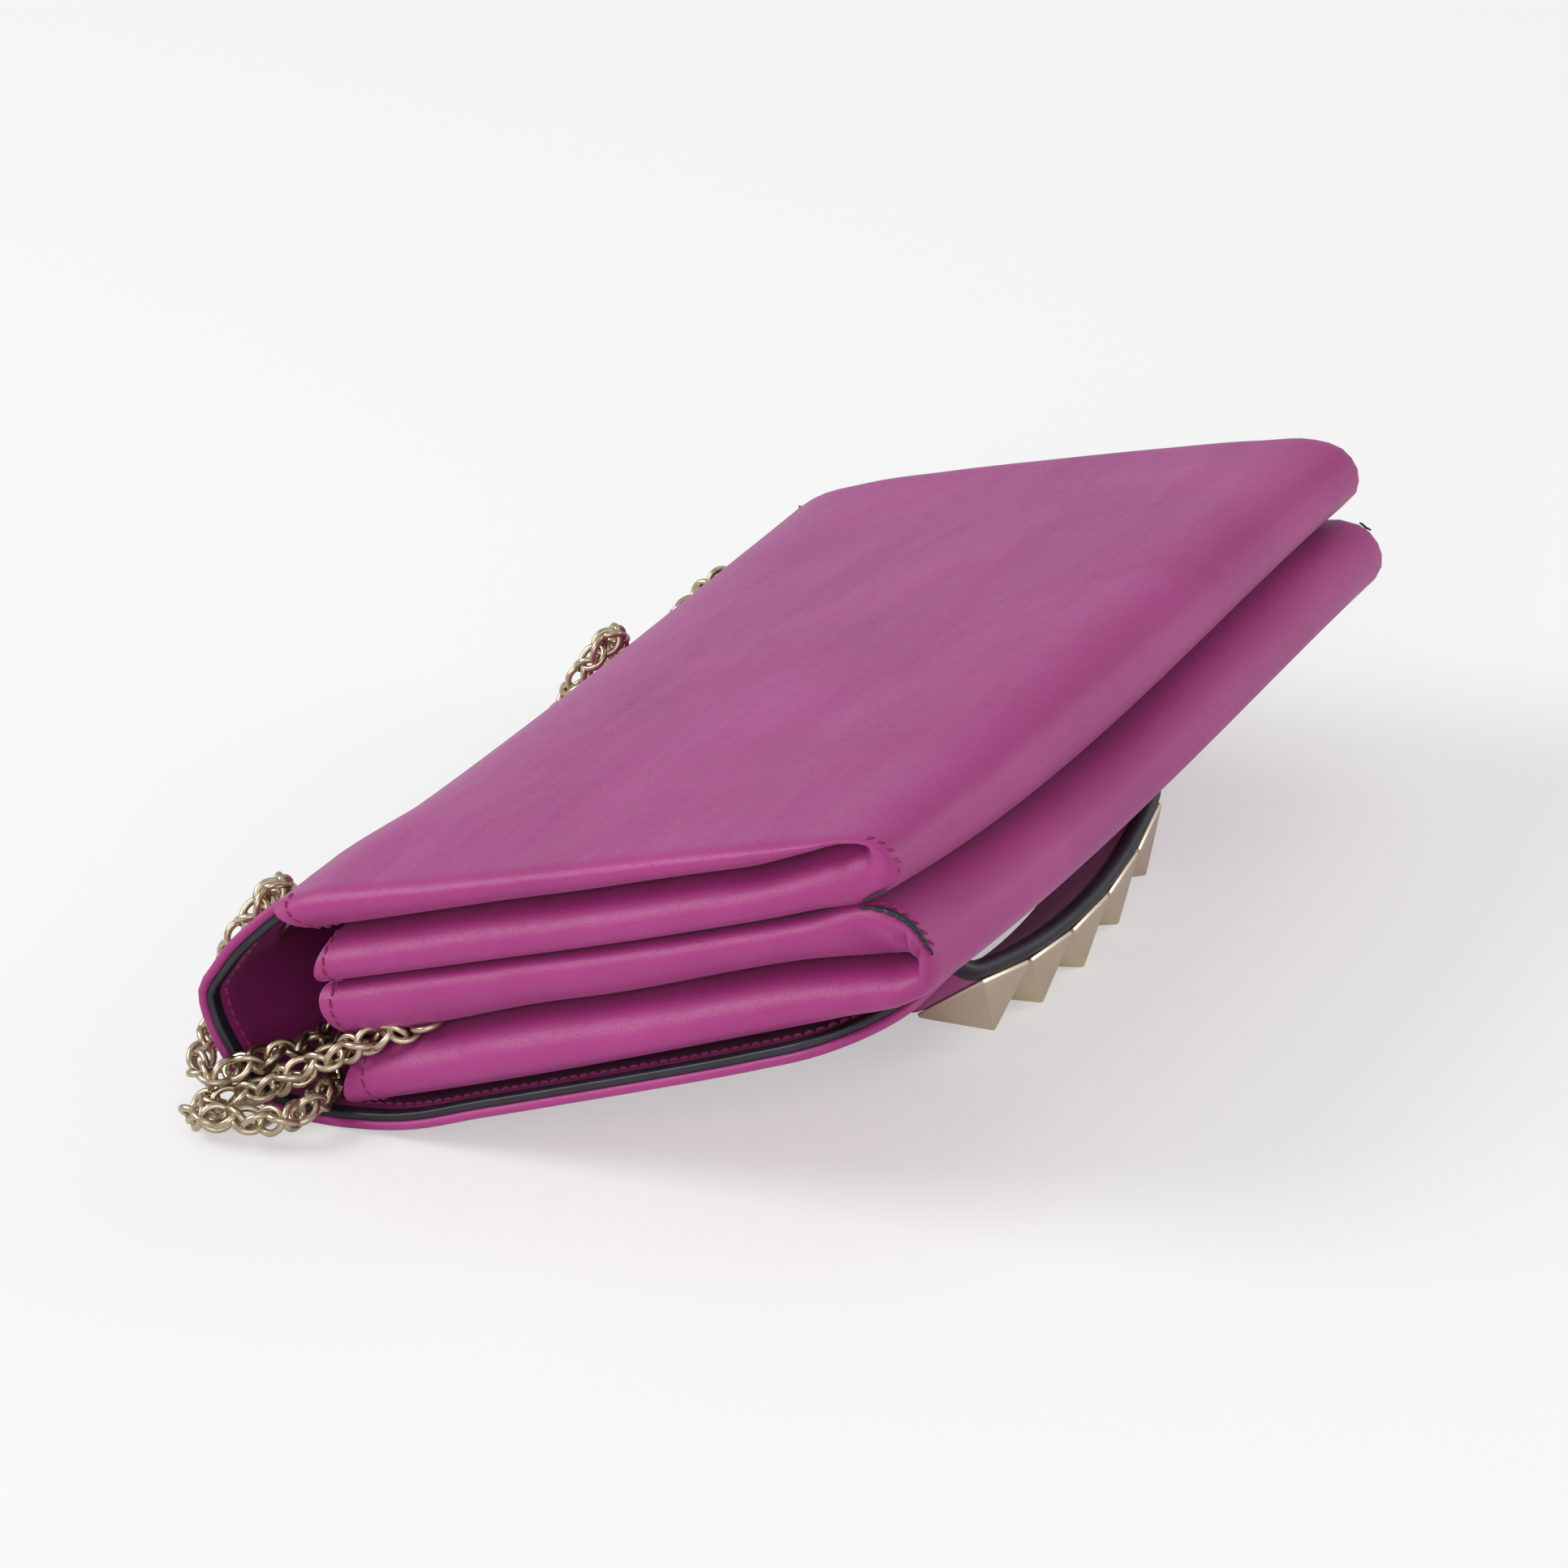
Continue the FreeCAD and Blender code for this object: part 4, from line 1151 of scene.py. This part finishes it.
def feed(tree, node, values):
    """Give a node its inputs by name or number: another node's output is linked, a plain value is set."""
    for label, value in values.items():
        if isinstance(value, bpy.types.NodeSocket):
            tree.links.new(value, node.inputs[label])
        else:
            node.inputs[label].default_value = value


def math_node(tree, operation, *values):
    node = tree.nodes.new("ShaderNodeMath")
    node.operation = operation
    feed(tree, node, dict(enumerate(values)))
    return node.outputs[0]


def noise(tree, vector, scale, detail=3.0, roughness=0.5, distortion=0.0):
    node = tree.nodes.new("ShaderNodeTexNoise")
    feed(tree, node, {"Vector": vector, "Scale": scale, "Detail": detail})
    feed(tree, node, {"Roughness": roughness, "Distortion": distortion})
    return node.outputs["Fac"]


grain, grain_in, grain_out = new_group(
    "leather_grain",
    [("Vector", "NodeSocketVector", None), ("Scale", "NodeSocketFloat", 1700.0)],
    ["Height", "Pores"],
)
warp = grain.nodes.new("ShaderNodeVectorMath")
warp.operation = "ADD"
warp_noise = grain.nodes.new("ShaderNodeTexNoise")
feed(grain, warp_noise, {"Vector": grain_in.outputs["Vector"], "Scale": 420.0})
warp_size = grain.nodes.new("ShaderNodeVectorMath")
warp_size.operation = "SCALE"
feed(grain, warp_size, {0: warp_noise.outputs["Color"], "Scale": 0.0006})
feed(grain, warp, {0: grain_in.outputs["Vector"], 1: warp_size.outputs[0]})
cells = grain.nodes.new("ShaderNodeTexVoronoi")
cells.feature = "SMOOTH_F1"
feed(grain, cells, {"Vector": warp.outputs[0], "Scale": grain_in.outputs["Scale"], "Smoothness": 0.5})
pebble = math_node(grain, "SUBTRACT", 1.0, cells.outputs["Distance"])
fine_scale = math_node(grain, "MULTIPLY", grain_in.outputs["Scale"], 2.6)
fine = noise(grain, grain_in.outputs["Vector"], fine_scale, 2.0)
height = math_node(grain, "ADD", pebble, math_node(grain, "MULTIPLY", fine, 0.35))
pores = math_node(grain, "GREATER_THAN", cells.outputs["Distance"], 0.62)
feed(grain, grain_out, {"Height": height, "Pores": pores})

wear, wear_in, wear_out = new_group(
    "slow_wear",
    [("Vector", "NodeSocketVector", None), ("Scale", "NodeSocketFloat", 18.0)],
    ["Tone", "Marks"],
)
slow = noise(wear, wear_in.outputs["Vector"], wear_in.outputs["Scale"], 3.0, 0.55, 0.4)
spot_scale = math_node(wear, "MULTIPLY", wear_in.outputs["Scale"], 14.0)
spots = noise(wear, wear_in.outputs["Vector"], spot_scale, 4.0, 0.6)
marks = math_node(wear, "MULTIPLY", math_node(wear, "SUBTRACT", spots, 0.55), 5.0)
marks = math_node(wear, "MINIMUM", math_node(wear, "MAXIMUM", marks, 0.0), 1.0)
feed(wear, wear_out, {"Tone": slow, "Marks": marks})
print("groups", [g.name for g in bpy.data.node_groups])


# %% [markdown]
# A material starts with its Object coordinates. `start` gives these, with the two groups already linked to
# them, so that each material below only says what is its own.

# %% Starting a material
def start(name, grain_scale=1700.0, wear_scale=18.0):
    """A new material, its tree, its shader, its coordinates and its grain and wear groups."""
    material = bpy.data.materials.new(name)
    material.use_nodes = True
    tree = material.node_tree
    shader = tree.nodes["Principled BSDF"]
    place = tree.nodes.new("ShaderNodeTexCoord").outputs["Object"]
    groups = []
    for group, scale in ((grain, grain_scale), (wear, wear_scale)):
        node = tree.nodes.new("ShaderNodeGroup")
        node.node_tree = group
        feed(tree, node, {"Vector": place, "Scale": scale})
        groups.append(node)
    return material, tree, shader, place, *groups


def ramp(tree, value, stops):
    """A colour ramp over a value: stops are (position, (r, g, b))."""
    node = tree.nodes.new("ShaderNodeValToRGB")
    elements = node.color_ramp.elements
    for i, (position, colour) in enumerate(stops):
        element = elements[i] if i < 2 else elements.new(position)
        element.position = position
        element.color = (*colour, 1.0)
    tree.links.new(value, node.inputs["Fac"])
    return node.outputs["Color"]


def bump(tree, shader, height, distance, strength=1.0, under=None):
    node = tree.nodes.new("ShaderNodeBump")
    feed(tree, node, {"Strength": strength, "Distance": distance, "Height": height})
    if under is not None:
        feed(tree, node, {"Normal": under})
    feed(tree, shader, {"Normal": node.outputs["Normal"]})
    return node.outputs["Normal"]


# %% [markdown]
# The bag's leather is a smooth satin calf leather in magenta. Its colour shifts a little from place to
# place, the grain is very fine, and long shallow ripples run through it where the sheet has been bent. A
# weak sheen lifts the colour at grazing angles; its violet-blue tint is painted light, standing in for the
# cool light that the leather reflects. The flap's lining is the same leather with a duller finish.

# %% Bag leather
def leather_material(name, tones, roughness, ripple, sheen):
    material, tree, shader, place, grain_node, wear_node = start(name)
    colour = ramp(tree, wear_node.outputs["Tone"], [(0.30, tones[0]), (0.72, tones[1])])
    gloss = math_node(tree, "MULTIPLY_ADD", wear_node.outputs["Marks"], 0.07, roughness)
    gloss = math_node(tree, "MULTIPLY_ADD", grain_node.outputs["Pores"], 0.10, gloss)
    feed(tree, shader, {"Base Color": colour, "Roughness": gloss, "Specular IOR Level": 0.5})
    # The sheen is lit by the lamps, but its violet-blue tint is painted light: it stands in for the colour of
    # the cool light that the leather reflects.
    feed(tree, shader, {"Sheen Weight": sheen, "Sheen Roughness": 0.45, "Sheen Tint": (0.82, 0.76, 1.0, 1.0)})
    stretched = tree.nodes.new("ShaderNodeMapping")
    feed(tree, stretched, {"Vector": place, "Scale": (0.35, 1.0, 1.0)})
    ripples = noise(tree, stretched.outputs["Vector"], 46.0, 2.0, 0.45, 0.3)
    under = bump(tree, shader, ripples, ripple, 0.8)
    bump(tree, shader, grain_node.outputs["Height"], 0.00008, 0.65, under)
    return material


bag_tones = ((0.350, 0.025, 0.182), (0.420, 0.038, 0.232))
lining_tones = ((0.330, 0.022, 0.170), (0.385, 0.032, 0.205))
bag_leather = leather_material("calf_leather", bag_tones, 0.45, 0.0020, 0.14)
lining_leather = leather_material("matt_leather", lining_tones, 0.52, 0.0009, 0.06)

# %% [markdown]
# The edge paint is a thick black lacquer with a trace of blue. It is satin, and slightly uneven because it
# is put on by hand along the cut edge.

# %% Edge paint
edge_paint, tree, shader, place, grain_node, wear_node = start("black_paint", 900.0, 90.0)
colour = ramp(tree, wear_node.outputs["Tone"], [(0.3, (0.012, 0.011, 0.017)), (0.7, (0.026, 0.024, 0.036))])
gloss = math_node(tree, "MULTIPLY_ADD", wear_node.outputs["Marks"], 0.15, 0.40)
feed(tree, shader, {"Base Color": colour, "Roughness": gloss})
under = bump(tree, shader, noise(tree, place, 520.0, 3.0), 0.00012, 0.7)
bump(tree, shader, grain_node.outputs["Height"], 0.00003, 0.4, under)

# %% [markdown]
# The thread is a matt, twisted polyester a little darker than the leather. The twist is a fine band that
# runs at an angle across each stitch.

# %% Thread
thread, tree, shader, place, grain_node, wear_node = start("thread", 2600.0, 120.0)
twist = tree.nodes.new("ShaderNodeTexWave")
twist.bands_direction = "DIAGONAL"
feed(tree, twist, {"Vector": place, "Scale": 620.0, "Distortion": 1.5})
colour = ramp(tree, twist.outputs["Fac"], [(0.1, (0.240, 0.008, 0.095)), (0.9, (0.400, 0.020, 0.165))])
feed(tree, shader, {"Base Color": colour, "Roughness": 0.62, "Sheen Weight": 0.25})
bump(tree, shader, twist.outputs["Fac"], 0.00008, 0.8)

# %% [markdown]
# The pouches are lined with a fine twill. Two bands of thread cross at an angle, and the ribs that they
# make are the cloth's relief.

# %% Pouch cloth
pouch_cloth, tree, shader, place, grain_node, wear_node = start("pouch_cloth", 2600.0, 30.0)
ribs = []
for direction, scale in (("X", 520.0), ("DIAGONAL", 460.0)):
    wave = tree.nodes.new("ShaderNodeTexWave")
    wave.bands_direction = direction
    feed(tree, wave, {"Vector": place, "Scale": scale, "Distortion": 0.6})
    ribs.append(wave.outputs["Fac"])
weave = math_node(tree, "MAXIMUM", *ribs)
shade = math_node(tree, "MULTIPLY", weave, wear_node.outputs["Tone"])
colour = ramp(tree, shade, [(0.15, (0.030, 0.012, 0.026)), (0.75, (0.085, 0.030, 0.066))])
feed(tree, shader, {"Base Color": colour, "Roughness": 0.75, "Sheen Weight": 0.2})
bump(tree, shader, weave, 0.00010, 0.8)


# %% [markdown]
# All the metal is plated in one pale champagne gold, but the finish differs. The studs are brushed, and their
# gold is painted paler than the rest: partly the plate's own pale colour, partly painted light for the light
# that their facets catch. The chain is satin and a little darker, and the eyelets and the snap are polished.

# %% Gold plate
def gold_material(name, bright, dull, roughness, brush, wear_scale):
    material, tree, shader, place, grain_node, wear_node = start(name, 3200.0, wear_scale)
    colour = ramp(tree, wear_node.outputs["Tone"], [(0.25, dull), (0.75, bright)])
    long_way = tree.nodes.new("ShaderNodeMapping")
    feed(tree, long_way, {"Vector": place, "Scale": (1.0, 0.06, 1.0)})
    scratches = noise(tree, long_way.outputs["Vector"], 5200.0, 2.0, 0.6)
    gloss = math_node(tree, "MULTIPLY_ADD", scratches, 0.12, roughness)
    gloss = math_node(tree, "MULTIPLY_ADD", wear_node.outputs["Marks"], 0.06, gloss)
    feed(tree, shader, {"Base Color": colour, "Metallic": 1.0, "Roughness": gloss})
    under = bump(tree, shader, noise(tree, place, 260.0, 2.0), 0.00006, 0.5)
    bump(tree, shader, scratches, 0.00002, brush, under)
    return material


# The studs' gold is paler than the chain's and the eyelets': part is the plate's own pale colour, part is
# painted light that stands in for the bright light on their facets.
stud_metal_painted_bright = gold_material("stud_gold", (0.93, 0.84, 0.66), (0.85, 0.76, 0.58), 0.34, 0.5, 60.0)
chain_metal = gold_material("chain_gold", (0.66, 0.56, 0.41), (0.50, 0.41, 0.28), 0.24, 0.35, 160.0)
eyelet_metal = gold_material("eyelet_gold", (0.68, 0.57, 0.38), (0.60, 0.49, 0.32), 0.16, 0.2, 80.0)
snap_metal = gold_material("snap_gold", (0.70, 0.62, 0.50), (0.62, 0.54, 0.42), 0.18, 0.2, 80.0)


# %% [markdown]
# Each piece gets its material and the body that it rides on, and the CAD nodes that it replaces are
# hidden. The flap's stiffener and the bar's core are closed in on all sides, so the lining and the bar's
# leather stand for them. The nodes that are right as they are, such as the eyelets and the snap, keep their
# shape and only get a better material.

# %% Materials and bodies
POUCHES, FLAP = "pouches", "flap"
pieces = [
    (front_pouch, bag_leather, POUCHES, ["front_pouch_leather", "front_gusset_near", "front_gusset_far"]),
    (front_cloth, pouch_cloth, POUCHES, ["front_pouch_lining"]),
    (rear_cloth, pouch_cloth, POUCHES, ["rear_pouch_lining"]),
    (seam_paint, edge_paint, POUCHES, []),
    (pouch_thread, thread, POUCHES, []),
    (chain, chain_metal, POUCHES, ["chain_strap"]),
    (bar_leather, bag_leather, FLAP, ["bar_outer_leather", "bar_inner_leather", "bar_core"]),
    (bar_edges[0], edge_paint, FLAP, ["bar_edge_paint_lower"]),
    (bar_edges[1], edge_paint, FLAP, ["bar_edge_paint_upper"]),
]
pieces += [(stud, stud_metal_painted_bright, FLAP, ["stud_%d" % (k + 1)]) for k, stud in enumerate(studs)]
for piece, material, body, stands_for in pieces:
    piece.data.materials.append(material)
    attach(piece, body)
    if stands_for:
        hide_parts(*stands_for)

# %% [markdown]
# Four pieces cross the fold: the outer leather, the lining, its painted edge and its stitches. Each gets its
# material, the CAD nodes that it stands for are hidden, and its place is baked into its mesh.

# %% Pieces that cross the fold
bending = [
    (outer_leather, bag_leather, [
        "rear_pouch_leather", "rear_gusset_near", "rear_gusset_far",
        "flap_leather", "fold_leather", "spine_leather",
    ]),
    (flap_lining, lining_leather, ["flap_lining", "flap_stiffener", "fold_lining", "spine_lining"]),
    (paint_edge, edge_paint, ["flap_edge_paint"]),
    (flap_thread, thread, []),
]
for piece, material, stands_for in bending:
    piece.data.materials.append(material)
    if stands_for:
        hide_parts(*stands_for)
    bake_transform(piece)

# %% [markdown]
# The snap, the rivets, the eyelets and the chain's ring stay as they are.

# %% CAD nodes that stay
kept = {
    # The bar's rivets share the studs' gold, with its painted light.
    "bar_rivets": stud_metal_painted_bright,
    "snap_male": snap_metal,
    "snap_male_plate": snap_metal,
    "snap_female": snap_metal,
    "snap_female_plate": snap_metal,
    "eyelet_near": eyelet_metal,
    "eyelet_far": eyelet_metal,
    "eyelet_washer_near": eyelet_metal,
    "eyelet_washer_far": eyelet_metal,
    "chain_ring": chain_metal,
}
for name, material in kept.items():
    node = nodes[name]
    for material_slot in node.material_slots:
        material_slot.material = material
    if not node.material_slots:
        node.data.materials.append(material)
print("pieces", len(pieces) + len(bending), "kept nodes", len(kept))

# %% [markdown]
# The set is a plain pale studio. The floor is large enough to fill the view. To the camera it is a little
# darker and glows a little, so that it looks even and near white and still keeps the bag's soft shadow. A
# broad key lamp high behind the bag lays the long highlight across the back wall. A fill lamp lights the
# near gussets, a side lamp the studs, a faint violet lamp the far rim, and a top lamp softens them all.

# %% Studio
bpy.ops.mesh.primitive_plane_add(size=12.0, location=(0.0, 0.0, 0.0))
floor = bpy.context.object
floor.name = "studio_floor"
floor_material = bpy.data.materials.new("studio_floor")
floor_material.use_nodes = True
floor_tree = floor_material.node_tree
floor_shader = floor_tree.nodes["Principled BSDF"]
seen = floor_tree.nodes.new("ShaderNodeLightPath").outputs["Is Camera Ray"]
floor_colour = ramp(floor_tree, seen, [(0.0, (0.86, 0.86, 0.86)), (1.0, (0.54, 0.54, 0.54))])
glow = math_node(floor_tree, "MULTIPLY", seen, 0.45)
white = (1.0, 1.0, 1.0, 1.0)
feed(floor_tree, floor_shader, {"Base Color": floor_colour, "Roughness": 0.9, "Specular IOR Level": 0.1})
feed(floor_tree, floor_shader, {"Emission Color": white, "Emission Strength": glow})
floor.data.materials.append(floor_material)

world = bpy.data.worlds.new("studio_world")
bpy.context.scene.world = world
world.use_nodes = True
feed(world.node_tree, world.node_tree.nodes["Background"], {"Color": white, "Strength": 0.38})


def soft_lamp(name, place, target, size, power, colour=(1.0, 1.0, 1.0)):
    data = bpy.data.lights.new(name, "AREA")
    data.shape = "RECTANGLE"
    data.size, data.size_y = size
    data.energy = power
    data.color = colour
    lamp = placed(name, data)
    lamp.location = place
    lamp.rotation_euler = (Vector(target) - Vector(place)).to_track_quat("-Z", "Y").to_euler()


on_the_bag = (0.0, 0.0, 0.05)
soft_lamp("key", (-1.3, 2.4, 2.2), on_the_bag, (2.2, 1.6), 64.0)
soft_lamp("fill", (-2.5, -0.9, 1.1), on_the_bag, (2.0, 1.4), 21.0)
soft_lamp("side", (1.5, -2.3, 1.0), on_the_bag, (1.4, 1.2), 17.0)
soft_lamp("rim", (2.6, 1.9, 0.5), on_the_bag, (2.4, 0.8), 3.6, (0.60, 0.60, 1.0))
soft_lamp("top", (0.6, -0.2, 3.2), (0.0, 0.0, 0.0), (2.4, 2.4), 9.0)
bpy.context.scene.view_settings.view_transform = "Standard"
